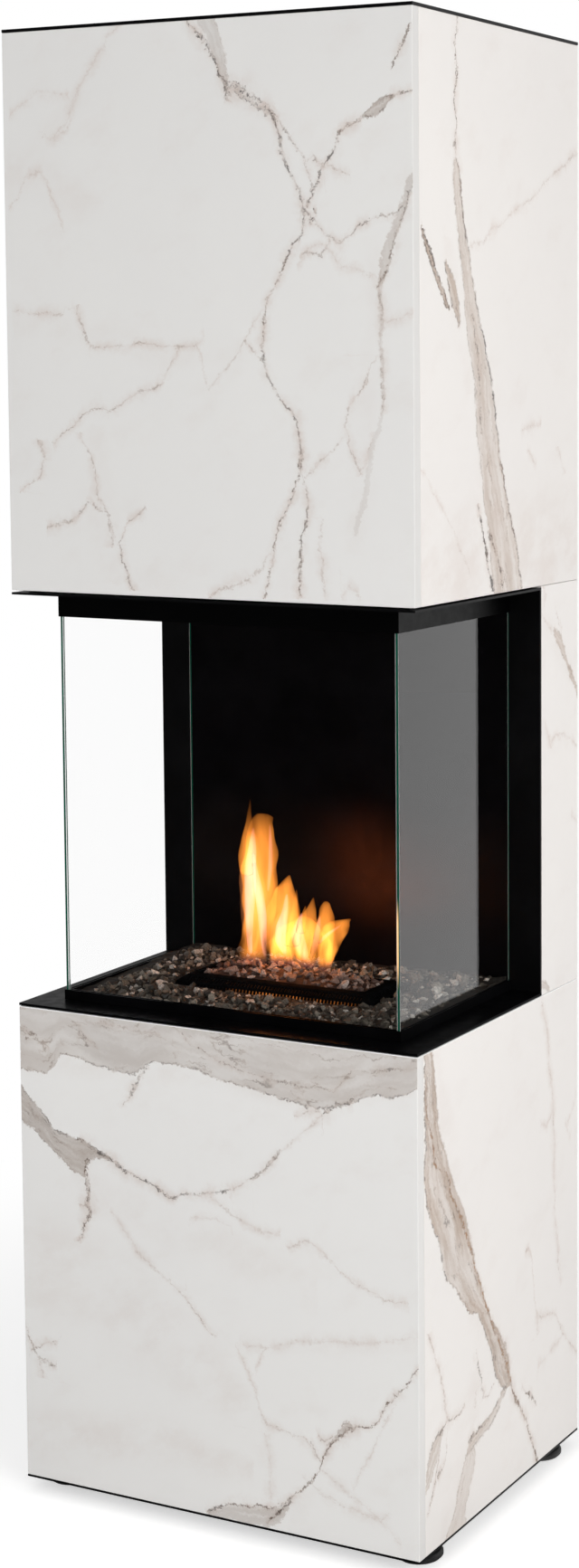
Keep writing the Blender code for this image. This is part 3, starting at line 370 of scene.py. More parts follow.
HOOD_SIDE = {
    "lines": [
        steep(0.85, (1985, 117, 1), (1972, 119, 1.6), (1960, 117, 1.4), (1945, 113, 2), (1930, 116, 1.4),
            (1912, 118, 2), (1895, 114, 1.4), (1870, 112, 2), (1850, 116, 1.4), (1835, 115, 2),
            (1820, 111, 2.4), (1808, 110, 1.8), (1798, 116, 1.6), (1785, 125, 1)),
        flat(0.4, (152, 1690, 0.8), (175, 1696, 1), (195, 1699, 1.3), (215, 1716, 1), (245, 1724, 1),
            (265, 1735, 1), (290, 1748, 1.3), (330, 1757, 1.2), (370, 1780, 1.1), (400, 1797, 1.2),
            (440, 1812, 1.4), (470, 1828, 1.4), (486, 1832, 1)),
        steep(0.25, (1410, 18, 0.8), (1370, 60, 1.2), (1340, 92, 1.6), (1295, 130, 1.8), (1255, 160, 1)),
        steep(0.9, (1358, 174, 1), (1335, 182, 2), (1315, 190, 2.6), (1300, 196, 2.4), (1280, 202, 2.6),
            (1262, 208, 2.6), (1248, 214, 3), (1240, 218, 2.6)),
        steep(0.75, (1610, 158, 1), (1585, 165, 1.8), (1560, 172, 2), (1530, 177, 1.6), (1505, 180, 1.4),
            (1480, 180, 1), (1450, 186, 1)),
        flat(0.8, (198, 1402, 3), (204, 1412, 2), (208, 1398, 3), (214, 1385, 2)),
        steep(0.8, (1330, 205, 1.6), (1312, 212, 2), (1300, 220, 3.4), (1285, 232, 2.4), (1265, 240, 3),
            (1245, 246, 1.4)),
        flat(0.3, (305, 1452, 1), (330, 1456, 1.4), (365, 1458, 1)),
        flat(0.3, (320, 1425, 1), (345, 1404, 1.6), (352, 1405, 1)),
        steep(0.35, (1425, 418, 0.8), (1402, 432, 1), (1388, 442, 1.8)),
    ],
    "bands": [
        steep(0.5, (1800, 112, 2), (1790, 116, 8), (1740, 122, 10), (1690, 135, 11), (1650, 147, 13),
            (1620, 153, 16), (1590, 164, 20), (1560, 174, 23), (1520, 190, 25), (1480, 196, 27),
            (1430, 206, 29), (1390, 217, 31), (1350, 229, 34), (1310, 245, 37), (1260, 257, 41),
            (1236, 263, 42), rims=(1.0, 1.9)),
        steep(0.9, (1722, 18, 0), (1700, 28, 3), (1680, 40, 4), (1655, 58, 4.6), (1630, 77, 4.6),
            (1612, 91, 3), (1606, 95, 0), rims=(1.2, 1.5)),
        steep(0.7, (1674, 85, 0), (1655, 97, 8), (1635, 105, 10), (1615, 113, 8), (1600, 118, 5),
            (1583, 123, 0), rims=(1.2, 0.8)),
    ],
    "clouds": [
        steep(1.6, (1660, 146, 8), (1600, 162, 16), (1540, 178, 20), (1480, 194, 24), (1400, 212, 28),
            (1320, 236, 30), (1236, 256, 32)),
        steep(0.5, (1500, 200, 45), (1400, 205, 60), (1240, 230, 80)),
        steep(0.4, (1700, 90, 20), (1600, 120, 35), (1500, 150, 20)),
        flat(0.3, (40, 1320, 30), (120, 1290, 40), (190, 1260, 30)),
        flat(0.9, (-20, 1270, 150), (500, 1270, 150)),
    ],
}
BASE_FRONT = {
    "lines": [
        flat(0.6, (-60, 662, 1), (-40, 650, 1.2), (-20, 640, 1.2), (0, 628, 1.2), (40, 617, 1), (80, 612, 1),
            (130, 606, 1.2), (190, 606, 1.2), (198, 618, 1), (215, 636, 1), (260, 641, 1), (311, 652, 0.8)),
        flat(0.8, (-311, 632, 2.4), (-298, 630, 2.8), (-280, 627, 1)),
        flat(0.6, (-300, 618, 1), (-282, 622, 1.2), (-262, 611, 1.2)),
        flat(0.55, (-212, 642, 1), (-198, 632, 1.2), (-182, 621, 1)),
        flat(0.4, (-200, 655, 1), (-150, 654, 1.2), (-110, 650, 1.4), (-80, 651, 1)),
        flat(0.8, (-212, 488, 2), (-198, 484, 2.4), (-186, 476, 3.6), (-170, 471, 3), (-155, 467, 3),
            (-143, 456, 2.4), (-125, 450, 1.6), (-108, 446, 1.6), (-90, 442, 1.4), (-75, 434, 1.5),
            (-61, 430, 2), (-48, 437, 1.3), (-20, 440, 1), (8, 446, 1), (28, 452, 1.2)),
        flat(0.45, (30, 453, 0.8), (50, 465, 0.8), (62, 472, 1.4)),
        flat(0.75, (60, 470, 2), (72, 477, 3), (84, 493, 1.6), (92, 502, 3), (100, 508, 2.8),
            (106, 514, 1.4)),
        flat(0.35, (106, 514, 1), (128, 534, 1), (148, 553, 1), (170, 572, 1.2)),
        flat(0.85, (170, 574, 1.6), (184, 582, 3.4), (192, 588, 3.6), (204, 592, 2.6), (216, 598, 1)),
        flat(0.45, (128, 566, 0.8), (145, 574, 1.2), (165, 577, 1)),
        steep(0.95, (464, -200, 3), (448, -203, 3.2), (432, -200, 3.4), (416, -199, 2.6), (402, -200, 4.4),
            (392, -196, 4), (380, -199, 3), (368, -206, 1.6), (355, -212, 0.8), (345, -219, 0.6)),
        flat(0.9, (-216, 399, 1.4), (-208, 399, 1.8), (-198, 397, 2)),
        flat(0.2, (-165, 395, 2), (-140, 370, 2.4), (-118, 345, 2.6)),
        flat(0.35, (-124, 348, 1.4), (-108, 338, 2), (-92, 325, 2.4), (-70, 312, 1), (-45, 294, 1.4)),
        flat(0.5, (-46, 295, 1.6), (-34, 284, 2.4), (-20, 266, 2), (-8, 252, 1.4), (4, 247, 1.2)),
        flat(0.38, (36, 240, 0.8), (46, 222, 1.2), (56, 200, 1.2), (64, 182, 1.6), (74, 155, 2.4),
            (80, 145, 2), (98, 138, 1), (140, 133, 1.2), (152, 120, 1.2), (162, 108, 1.2)),
        flat(0.3, (64, 215, 0.8), (74, 238, 1.2), (84, 250, 1)),
        flat(0.24, (48, 243, 0.8), (90, 250, 2), (140, 266, 1.6), (200, 274, 1.6), (250, 282, 1.6),
            (311, 300, 1)),
        flat(0.36, (116, 386, 0.8), (128, 391, 1.4), (138, 400, 1.2), (150, 403, 1.2), (168, 391, 1),
            (190, 372, 1), (205, 361, 1.4), (222, 353, 1.2), (240, 348, 1), (256, 342, 1.8), (275, 341, 1.2),
            (298, 342, 0.8)),
        flat(0.34, (-4, 440, 0.8), (10, 433, 1.6), (28, 421, 1.2), (60, 408, 1.2), (98, 402, 1.4),
            (106, 405, 1)),
        flat(0.2, (-35, 404, 1), (0, 410, 1.4), (30, 404, 1)),
        flat(0.95, (78, 8, 1.2), (88, 16, 1.6), (98, 25, 2.4), (108, 36, 2.4), (116, 48, 2), (124, 56, 2.2),
            (138, 66, 2), (150, 80, 2), (160, 98, 1.8), (170, 118, 2.4), (184, 138, 3.2), (194, 148, 3.6),
            (206, 158, 3), (218, 164, 1.8), (240, 168, 1.3), (250, 176, 1.3), (256, 190, 1.3),
            (262, 201, 1.8), (270, 208, 1.6), (280, 221, 1.8), (290, 230, 1.3), (300, 241, 1.3),
            (311, 256, 1.2)),
        flat(0.75, (-16, 2, 1), (0, 12, 1.4), (22, 22, 1.6), (60, 27, 1.4), (88, 30, 1.4), (104, 38, 1.4),
            (116, 50, 1.4)),
        flat(0.6, (148, 133, 1), (154, 122, 1.2), (162, 106, 1.4)),
        flat(0.6, (156, 143, 0.8), (164, 138, 1.2), (172, 136, 1), (182, 144, 1.4)),
        flat(0.6, (-312, 222, 1), (-303, 200, 1.8), (-296, 184, 2.4), (-290, 172, 2.4), (-280, 166, 2.6),
            (-266, 164, 1.6), (-258, 162, 0.8)),
        flat(0.5, (-304, 178, 1), (-292, 184, 1.4), (-276, 193, 1.2), (-256, 198, 0.8)),
        steep(0.4, (168, -288, 1.6), (155, -284, 1.6), (142, -280, 0.8)),
        flat(0.3, (135, 82, 0.8), (160, 66, 1), (190, 55, 1.2), (225, 50, 0.8), (252, 46, 1.4),
            (268, 60, 0.8)),
        flat(0.25, (160, 96, 0.8), (200, 76, 1.2), (240, 54, 1.2), (264, 36, 1), (282, 18, 0.8)),
        flat(0.3, (212, 80, 0.8), (228, 112, 1.3), (240, 135, 1.1), (258, 170, 1.3), (275, 206, 0.8)),
        steep(0.2, (130, 80, 0.8), (90, 86, 1.2), (40, 84, 1)),
        steep(0.6, (604, -100, 1.4), (592, -108, 3), (582, -116, 3), (570, -122, 2.2), (555, -132, 1.2),
            (545, -142, 0.6)),
    ],
    "bands": [
        flat(0.57, (-312, 640, 62), (-268, 638, 62), (-252, 645, 57), (-240, 656, 48), (-215, 653, 50),
            (-180, 648, 52), (-150, 645, 53), (-118, 645, 53), (-104, 653, 49), (-90, 660, 47),
            (-50, 662, 49), (-20, 660, 50), (0, 654, 52), (60, 649, 54), (100, 645, 56), (130, 640, 58),
            (160, 638, 58), (190, 641, 56), (212, 646, 53), (240, 654, 48), (280, 656, 47), (312, 668, 42),
            rims=(1.3, 0.0)),
        flat(0.8, (-330, 530, 25), (-312, 530, 26), (-290, 513, 18), (-266, 494, 18), (-256, 482, 16),
            (-240, 476, 20), (-222, 466, 22), (-206, 464, 25), (-198, 474, 10), (-186, 474, 5),
            (-160, 468, 3), rims=(0.8, 1.2)),
        flat(0.5, (-15, 2, 2), (25, 10, 11), (50, 12, 14), (88, 16, 13), (106, 28, 9), (116, 46, 1),
            rims=(0.0, 0.0)),
        flat(0.6, (184, 140, 1), (192, 150, 5), (204, 160, 6), (212, 165, 1), rims=(0.6, 1.0)),
    ],
    "clouds": [
        flat(0.65, (-312, 300, 120), (-220, 300, 110), (-120, 260, 100), (0, 190, 80), (80, 120, 50)),
        flat(0.7, (-312, 60, 60), (-200, 70, 60), (-60, 90, 50), (60, 70, 30)),
        flat(0.5, (-200, 420, 40), (-60, 390, 50), (60, 360, 50), (160, 330, 40)),
        flat(0.4, (40, 250, 20), (160, 262, 24), (311, 292, 20)),
        flat(0.6, (-312, 590, 30), (0, 600, 20), (160, 590, 30), (311, 630, 20)),
    ],
}
BASE_SIDE = {
    "lines": [
        steep(0.95, (604, 20, 1.6), (588, 25, 2.2), (570, 31, 2.2), (550, 38, 2.2), (530, 42, 2.4),
            (514, 44, 2.8), (506, 50, 2.4), (499, 62, 1.8), (494, 78, 2), (482, 86, 2.4), (462, 86, 3),
            (450, 96, 3.4), (438, 108, 3), (425, 116, 2.8), (410, 125, 2.6), (390, 136, 2.6),
            (366, 149, 2.4), (350, 155, 1.8), (330, 165, 1.8), (310, 175, 2), (290, 186, 2.2),
            (270, 196, 2.2), (250, 208, 2.6), (235, 219, 2.6), (220, 229, 2.4), (205, 236, 2),
            (185, 248, 2.2), (165, 256, 2.2), (145, 265, 2), gold=1.0),
        steep(0.95, (146, 264, 1.6), (130, 272, 2.2), (115, 281, 2.4), (100, 293, 2.6), (88, 303, 1.6),
            (72, 313, 1.6), (50, 326, 1.8), (30, 336, 2.2), (12, 345, 2.4), (-5, 352, 2), gold=0.35),
        steep(0.4, (280, 175, 1), (255, 190, 1.6), (225, 206, 1.8), (200, 214, 1.6), (170, 224, 1.4),
            (150, 236, 1)),
        steep(0.5, (222, 236, 1.6), (205, 248, 1.8), (190, 254, 1.4), (165, 262, 1.2), gold=0.5),
        steep(0.35, (664, 362, 0.8), (640, 370, 1), (610, 382, 1.3), (580, 387, 1), (540, 395, 1),
            (500, 402, 1.3), (450, 405, 1.2), (400, 405, 1), (350, 408, 1), (300, 415, 1), (262, 421, 1.5),
            (235, 428, 0.8)),
        flat(0.3, (360, 482, 0.8), (380, 476, 1.2), (400, 492, 0.8)),
        flat(0.4, (312, 316, 2), (322, 318, 2.4), (330, 306, 1.2), (336, 282, 1.2), (339, 255, 1.2),
            (345, 222, 1.4), (352, 210, 1.6), (366, 204, 1.4), (385, 202, 1.4), (402, 198, 1.2),
            (416, 186, 1), (432, 162, 1.3), (452, 140, 1.6), (470, 124, 1.2), (482, 114, 1), gold=0.5),
        steep(0.4, (212, 351, 1.2), (198, 353, 1.4), (184, 352, 1)),
        flat(0.2, (352, 138, 1), (372, 141, 1.4), (400, 147, 1.2), (432, 156, 1)),
        flat(0.25, (440, 462, 1), (449, 450, 1.6), (462, 440, 1), gold=0.9),
        flat(0.2, (450, 458, 1), (464, 476, 1.2), (484, 508, 1), gold=0.9),
        steep(0.5, (296, 24, 1), (280, 31, 1.8), (262, 42, 1.3), (235, 57, 1.3), (205, 67, 1.2),
            (175, 74, 1.2), (156, 79, 1.5), gold=0.4),
        flat(0.8, (20, 112, 2), (26, 128, 2.4), (36, 142, 2.2), (48, 150, 2), (62, 153, 1.8), (76, 158, 1.8),
            (92, 156, 0.8), (112, 157, 0.9), (128, 164, 0.6)),
        flat(0.7, (20, 52, 1.2), (30, 66, 2.4), (40, 82, 2.2), (46, 98, 1.6), (54, 122, 1.6),
            (62, 148, 1.6)),
        flat(0.85, (50, 94, 1.6), (58, 99, 2.6), (66, 103, 1.4), (73, 112, 1.6), (77, 130, 1.2),
            (78, 152, 1)),
        flat(0.95, (300, 127, 0.8), (312, 116, 1.4), (322, 107, 2), (335, 98, 2), (347, 82, 0.8)),
        steep(0.8, (226, 164, 0.8), (214, 165, 1.6), (200, 168, 1.4), (188, 174, 1.6), (176, 178, 1.2),
            (164, 179, 3), (150, 182, 0.8)),
        flat(0.5, (182, 154, 1), (196, 150, 1), (208, 160, 1.2), (216, 160, 0.8)),
        flat(0.95, (138, 108, 1), (144, 110, 2.6), (150, 116, 2), (160, 112, 1.2), (172, 119, 1.8),
            (184, 112, 1.4), (196, 118, 1.2)),
        steep(0.5, (150, 157, 0.8), (172, 162, 1)),
    ],
    "bands": [
        steep(0.78, (690, 28, 8), (664, 30, 11), (620, 34, 14), (570, 38, 18), (540, 43, 22), (515, 48, 31),
            (490, 55, 36), (460, 66, 39), (440, 78, 42), (410, 95, 41), (370, 109, 41), (350, 117, 42),
            (330, 133, 33), (310, 147, 28), (288, 164, 24), (274, 182, 14), (255, 193, 12), (235, 208, 16),
            (215, 222, 18), (195, 232, 20), (165, 243, 21), (152, 250, 14), (142, 258, 4), rims=(1.0, 0.5)),
        flat(0.55, (134, 96, 4), (150, 104, 7), (175, 109, 8), (200, 113, 7), (220, 122, 6), (240, 137, 6),
            (256, 146, 2), rims=(1.0, 1.3)),
        steep(0.4, (98, 146, 8), (82, 140, 18), (60, 131, 20), (42, 122, 19), (26, 112, 17), (12, 104, 24),
            (-4, 100, 32), rims=(1.2, 0.9)),
        flat(0.45, (16, 96, 10), (26, 108, 18), (36, 122, 20), (48, 134, 16), (60, 146, 6), rims=(0.8, 0.0)),
    ],
    "clouds": [
        steep(0.5, (664, 50, 30), (500, 80, 60), (330, 130, 70), (200, 220, 60)),
        steep(0.5, (200, 180, 60), (100, 120, 80), (0, 80, 70)),
        flat(0.3, (280, 280, 30), (360, 340, 40), (440, 420, 30)),
    ],
}
COLUMN_SIDE = {
    "lines": [
        flat(0.5, (404, 1212, 0.8), (410, 1200, 1.2), (416, 1190, 1.5), (429, 1174, 1)),
        flat(0.4, (366, 1200, 1), (378, 1188, 1.3), (390, 1178, 1.2), (400, 1168, 0.8)),
        steep(0.4, (1240, 372, 1), (1222, 378, 1.6), (1205, 372, 1)),
        flat(0.7, (408, 1172, 2), (416, 1154, 1.6), (428, 1142, 1.6), (440, 1130, 1.4), (452, 1116, 1.8),
            (462, 1108, 2), (470, 1100, 2.2), (477, 1082, 1.6), (486, 1062, 1)),
        flat(0.4, (398, 1018, 0.8), (412, 1023, 1), (440, 1021, 1.6), (462, 1012, 1), (486, 998, 1)),
        flat(0.3, (462, 906, 0.8), (474, 898, 1.2), (486, 888, 1)),
        steep(0.3, (1052, 374, 0.8), (1030, 384, 1), (1010, 396, 1.4)),
    ],
    "bands": [
        flat(0.55, (404, 1172, 2), (416, 1162, 8), (428, 1152, 10), (440, 1134, 7), (455, 1112, 6),
            (465, 1103, 8), (478, 1082, 6), (488, 1064, 4), rims=(0.8, 1.2)),
        flat(0.5, (362, 682, 4), (380, 674, 5), (394, 668, 0)),
    ],
    "clouds": [
        flat(0.4, (370, 1190, 30), (430, 1140, 40), (486, 1080, 30)),
    ],
}


def shared_rows(veins):
    """Veins whose runs don't meet are put in one row of (along, across, half width, darkness)."""
    rows = []
    for run, darkness, points, gold, _ in sorted(veins, key=lambda vein: min(vein[2])):
        points = [(*point, darkness) for point in sorted(points)]
        for kind, row in rows:
            if kind == (run, gold) and row[-1][0] < points[0][0] - 4:
                along, across, _, before = row[-1]
                start, start_across = points[0][:2]
                row += [(along + 1, across, 0, before), (start - 1, start_across, 0, darkness), *points]
                break
        else:
            rows.append(((run, gold), points))
    return rows


def follow(tree, run, points, across, height):
    """A vein's run: the place along it, how far off its middle, and its half width there, all in metres.
    A shared row's points also have a darkness, and it comes last."""
    points = sorted(points)
    along, other = (height, across) if run == "steep" else (across, height)
    first, last = points[0][0], points[-1][0]
    low = min(p[1] for p in points) - 1
    high = max(p[1] for p in points) + 1
    widest = max(p[2] for p in points)
    share = along.span(first * MM, last * MM, kind="LINEAR")

    def along_run(values):
        shares = [(p[0] - first) / (last - first) for p in points]
        return tree.curve(share, list(zip(shares, values)))

    middle = along_run([(p[1] - low) / (high - low) for p in points]).times_plus((high - low) * MM, low * MM)
    inside = along.within((first + last) / 2 * MM, (last - first) / 2 * MM)
    width = along_run([p[2] / widest for p in points]) * (widest * MM) * inside
    darkness = along_run([p[3] for p in points]) if len(points[0]) == 4 else None
    return along, other - middle, width, darkness


def fading(gap, reach):
    """1 where the gap is nothing, and 0 from the reach on, both in metres."""
    return (1.0 - gap / reach).clamped()


def vein_body(offset, width, drift, darkness, unit):
    """A thread of stone: solid where it is thin, and with dark rims about a paler middle where it is wide.
    A faint one has soft edges."""
    gap = abs(offset - drift * width.times_plus(0.5, 0.6 * unit))
    blur = darkness.times_plus(-3.4 * unit, 3.0 * unit).at_least(0.8 * unit)
    core = ((width - gap) / blur + 0.36).clamped()
    rim = abs(width.times_plus(-0.85, gap))
    hollow = 1.0 - fading(rim, width.times_plus(0.1, 0.8 * unit))
    wide = width.span(2.2 * unit, 4.2 * unit, 0.0, 0.62)
    return core * (1.0 - wide * hollow)


def marble(name, veins, side, flip=None, highlight_height=None, tone=1.0, weight=1.0):
    """Pale stone with veins. side says which face it is for, and flip is twice the height that the veins are
    turned round, in millimetres. highlight_height is the height of the top edge, in metres, just below which
    a thin near-white highlight is painted on; tone is the stone's paleness and weight the veins' strength."""
    tree = new_tree(name)
    unit = 1.7 * MM if side else MM
    wobble = tree.drift(34, 2, 0.5, (12 * MM, 12 * MM, 12 * MM))
    jagged = tree.drift(150, 5, 0.8, (17 * MM, 17 * MM, 17 * MM))
    axes = tree.split(tree.place + wobble + jagged)
    across = axes[1] - FRONT if side else axes[0]
    height = axes[2] - PANEL_LOW
    if flip:
        height = flip * MM - height
        across = TURNED_FROM - across

    drifts = tree.split(tree.noise(55, 3, 0.6, output="Color"))
    drift_a, drift_b = [value.span(0.25, 0.75, -1.0, 1.0, kind="LINEAR") for value in drifts[:2]]
    swell = tree.noise(42, 3, 0.6).span(0.34, 0.66, -0.65, 0.65)
    fine = tree.noise(330, 3, 0.7)
    middling = tree.noise(75, 3, 0.65)
    broken = middling.span(0.38, 0.56, 0.15, 1.0) * fine.span(0.36, 0.54, 0.35, 1.1)
    rough = middling.span(0.36, 0.56, 0.4, 1.1) * fine.span(0.36, 0.54, 0.5, 1.1)
    doubled = middling.span(0.62, 0.42, 0.0, 0.7) * fine.span(0.6, 0.42, 0.1, 1.0)
    beads = tree.noise(170, 2, 0.6).span(0.57, 0.63)
    patches = tree.noise(30, 3, 0.6)
    patchy = patches.span(0.36, 0.64, 0.25, 1.3)
    slant = tree.joined(height.times_plus(0.55, across), across.times_plus(-0.25, height * 0.5))
    smoke = tree.noise(13, 5, 0.62, place=slant * (0.7, 2.2, 1.0))

    # The threads: a body, a second strand that leaves and joins it, beads along it and a halo.
    grey = smoke.span(0.5, 0.8, 0.0, 0.1)
    line, golden = 0.0, 0.0
    for (run, gold), row in shared_rows(veins["lines"]):
        _, offset, width, darkness = follow(tree, run, row, across, height)
        swollen = width.at_most(2 * unit).times_plus(swell, width)
        peak = darkness * darkness.span(0.15, 0.6, 0.62, 1.0)
        body = vein_body(offset, swollen, drift_a, darkness, unit) * peak
        seen = body * broken ** (1.8 - darkness)
        if gold:
            golden = (body * gold).at_least(golden)
        gap = abs(offset)
        apart = abs(offset - drift_b * width.times_plus(1.6, 1.6 * unit))
        thread = (width * 0.4 - apart).times_plus(1 / (0.6 * unit), 0.25).clamped()
        near = fading(gap, width.times_plus(1.6, 0.8 * unit)) * beads
        seen = seen.at_least((thread * doubled).at_least(near) * darkness)
        there = width.over(0.05 * MM)
        line = (seen * there).at_least(line)
        halo = fading(gap, width.times_plus(4.0, patches.times_plus(30 * MM, -4 * MM)))
        halo = halo * halo * (patchy * there) * darkness.times_plus(0.22, 0.18)
        grey = grey.at_least(halo)

    for run, darkness, points, _, _ in veins["clouds"]:
        _, offset, width, _ = follow(tree, run, points, across, height)
        cloud = fading(abs(offset), width + 0.01 * MM).span(0.0, 0.9)
        grey = grey.at_least(cloud * smoke.span(0.36, 0.68, 0.02, 0.27) * darkness)

    # The bands: streaks and threads that flow along them, with darker rims.
    fill, inner = 0.0, 0.0
    low, high = (0.45, 1.35) if side else (0.66, 1.2)
    for run, darkness, points, _, rims in veins["bands"]:
        along, offset, width, _ = follow(tree, run, points, across, height)
        share = offset / width.at_least(2 * MM)
        flow = tree.joined(along * 5.0, share * 1.5, points[0][1] * 0.1)
        streaks = tree.noise(1.6, 6, 0.62, place=flow).span(0.32, 0.68, low, high)
        threads = abs(tree.noise(1.9, 2, 0.5, place=flow) - 0.5).span(0.0, 0.02, 1.0, 0.0)
        gap = abs(offset)
        inside = ((width - gap) * (1 / (1.2 * MM))).clamped()
        fill = (inside * streaks * darkness).at_least(fill)
        inner = (threads * inside * (0.8 * darkness) * patchy).at_least(inner)
        if max(rims) > 0:
            rim = fading(abs(width - gap), 1.9 * unit) * width.over(1.5 * MM)
            which = share.span(-0.5, 0.5, rims[0] * darkness, rims[1] * darkness, kind="LINEAR")
            line = (rim * which * rough).at_least(line)

    # The veins are printed on the panel's main face alone.
    normal = tree.split(tree.give("TexCoord", output="Normal"))
    facing = abs(normal[0 if side else 1]).over(0.5)
    line = line.at_least(inner) * (facing * weight)

    warm = tree.noise(6, 2)
    tint = (1.0, 0.98, 0.975) if side else WHITE
    greyer, paler = [tuple(tone * t * c for t, c in zip(tint, stone))
                     for stone in ((0.77, 0.76, 0.75), (0.82, 0.81, 0.79))]
    base = tree.mix(tree.noise(3.2, 3), greyer, paler)
    base = tree.mix(facing, tuple(0.93 * c for c in greyer), base)
    base = tree.mix(grey * facing, base, (0.54, 0.415, 0.355))
    if side:
        band = tree.mix(warm, (0.40, 0.32, 0.265), (0.515, 0.405, 0.33))
    else:
        band = tree.mix(warm, (0.37, 0.325, 0.298), (0.515, 0.45, 0.402))
    base = tree.mix(fill * facing, base, band)
    dark = tree.mix(warm.span(0.42, 0.6), (0.07, 0.058, 0.052), (0.15, 0.102, 0.074))
    dark = tree.mix(line.span(0.1, 0.7), (0.34, 0.22, 0.155), dark)
    if isinstance(golden, Value):
        dark = tree.mix((golden * fine.span(0.4, 0.6, 0.2, 1.1)).clamped(), dark, (0.36, 0.185, 0.075))
    colour = tree.mix(line, base, dark)
    # A painted highlight: a thin near-white line just below the panel's top edge, standing in for the light
    # that edge catches.
    if highlight_height:
        top = tree.split(tree.place)[2].span(highlight_height - 1.6 * MM, highlight_height - 0.9 * MM)
        colour = tree.mix(top, colour, (0.95, 0.95, 0.95))
    tree.set({"Base Color": colour, "Roughness": tree.noise(60, 3).span(0.3, 0.7, 0.3, 0.4),
              "Specular IOR Level": 0.4})
    tree.bump(tree.noise(900, 2), 0.04, 0.2 * MM)
    return tree.material


# Metals, glass and the rest

def powder_coat(name, colour, low, high, shine, grain):
    """Heat-proof black paint: a fine orange-peel grain and slightly uneven sheen."""
    tree = new_tree(name)
    lighter = tuple(c * 2.0 for c in colour)
    tree.set({"Base Color": tree.mix(tree.noise(14, 4, 0.6).span(0.35, 0.7), colour, lighter),
              "Roughness": tree.noise(70, 5, 0.6).span(0.3, 0.7, low, high), "Specular IOR Level": shine})
    tree.bump(tree.noise(grain, 2), 0.12, 0.2 * MM)
    return tree.material


def fire_reflection_band(paint):
    """The wall shines in a band at the fire's height and much less above and below it, and what it mirrors
    is tinted orange: a painted warm reflection of the fire.
    """
    tree = Tree(paint.node_tree)
    height = tree.split(tree.place)[2]
    shine_band = height.span(0.74, 0.83, 0.3, 1.0) * height.span(0.86, 0.96, 1.0, 0.1)
    # The orange specular tint is a painted reflection of the fire's light.
    tree.set({"Specular IOR Level": shine_band * 0.42, "Specular Tint": (1.0, 0.56, 0.32, 1.0)})
    return paint


def plated(name, colour, other, roughness):
    """Bright metal with a drawn or spangled surface."""
    tree = new_tree(name)
    drawn = tree.noise(120, 4, 0.65, place=tree.place * (1.0, 1.0, 0.06))
    tree.set({"Base Color": tree.mix(tree.noise(22, 3).span(0.3, 0.7), colour, other), "Metallic": 1.0,
              "Roughness": drawn.span(0.3, 0.7, roughness - 0.08, roughness + 0.1)})
    tree.bump(drawn, 0.08, 0.3 * MM)
    return tree.material


def fire_glass(name, thin_axis, index):
    """Clear pane: its broad faces are colourless and its cut edges green. The near front edge of the right
    pane also has a painted orange glow at the fire's height, standing in for the fire's light seen in the
    glass."""
    tree = new_tree(name)
    clear = abs(tree.split(tree.give("TexCoord", output="Normal"))[thin_axis]).span(0.5, 0.85)
    green = tree.mix(tree.noise(60, 2), (0.002, 0.042, 0.022), (0.007, 0.082, 0.052))
    x, y, z = tree.split(tree.place)
    # A painted glow: the near front edge of the right pane emits orange light at the flames' height,
    # standing in for the fire's light carried along the glass.
    beside_fire = z.span(0.755, 0.80) * z.span(0.84, 0.88, 1.0, 0.0)
    near_edge = x.within(GLASS_CORNER_X, 2.4 * MM) * tree.math("LESS_THAN", y, -0.15)
    painted_fire_glow = beside_fire * near_edge * (1.0 - clear)
    tree.set({"Base Color": tree.mix(clear, green, WHITE), "Roughness": clear.span(0.0, 1.0, 0.15, 0.0),
              "Transmission Weight": clear, "IOR": index,
              "Emission Color": (1.0, 0.55, 0.24, 1.0), "Emission Strength": painted_fire_glow * 1.3})
    return tree.material


def broken_stone(name, dark, middle, pale, rare):
    """Crushed stone: each stone has its own shade, with a gritty, pitted face."""
    tree = new_tree(name)
    own = tree.give("NewGeometry", output="Random Per Island")
    shade = tree.ramp(own, [(0.0, dark), (0.52, middle), (0.84, pale), (0.95, rare)])
    grit = tree.noise(420, 5, 0.7)
    shade = tree.mix(grit.span(0.4, 0.68, 0.0, 0.75), shade, tuple(c * 0.35 for c in dark))
    shade = tree.mix(tree.noise(160, 3).span(0.57, 0.74, 0.0, 0.45), shade, pale)
    tree.set({"Base Color": shade, "Roughness": 0.68, "Specular IOR Level": 0.45})
    tree.bump(grit, 0.5, MM)
    return tree.material


def dull(name, colour, lighter, roughness, grain):
    """Plastic, rubber or dust."""
    tree = new_tree(name)
    spread = tree.noise(grain, 4, 0.65)
    tree.set({"Base Color": tree.mix(spread.span(0.35, 0.7), colour, lighter),
              "Roughness": spread.span(0.3, 0.7, roughness - 0.06, roughness + 0.08)})
    tree.bump(spread, 0.15, 0.3 * MM)
    return tree.material


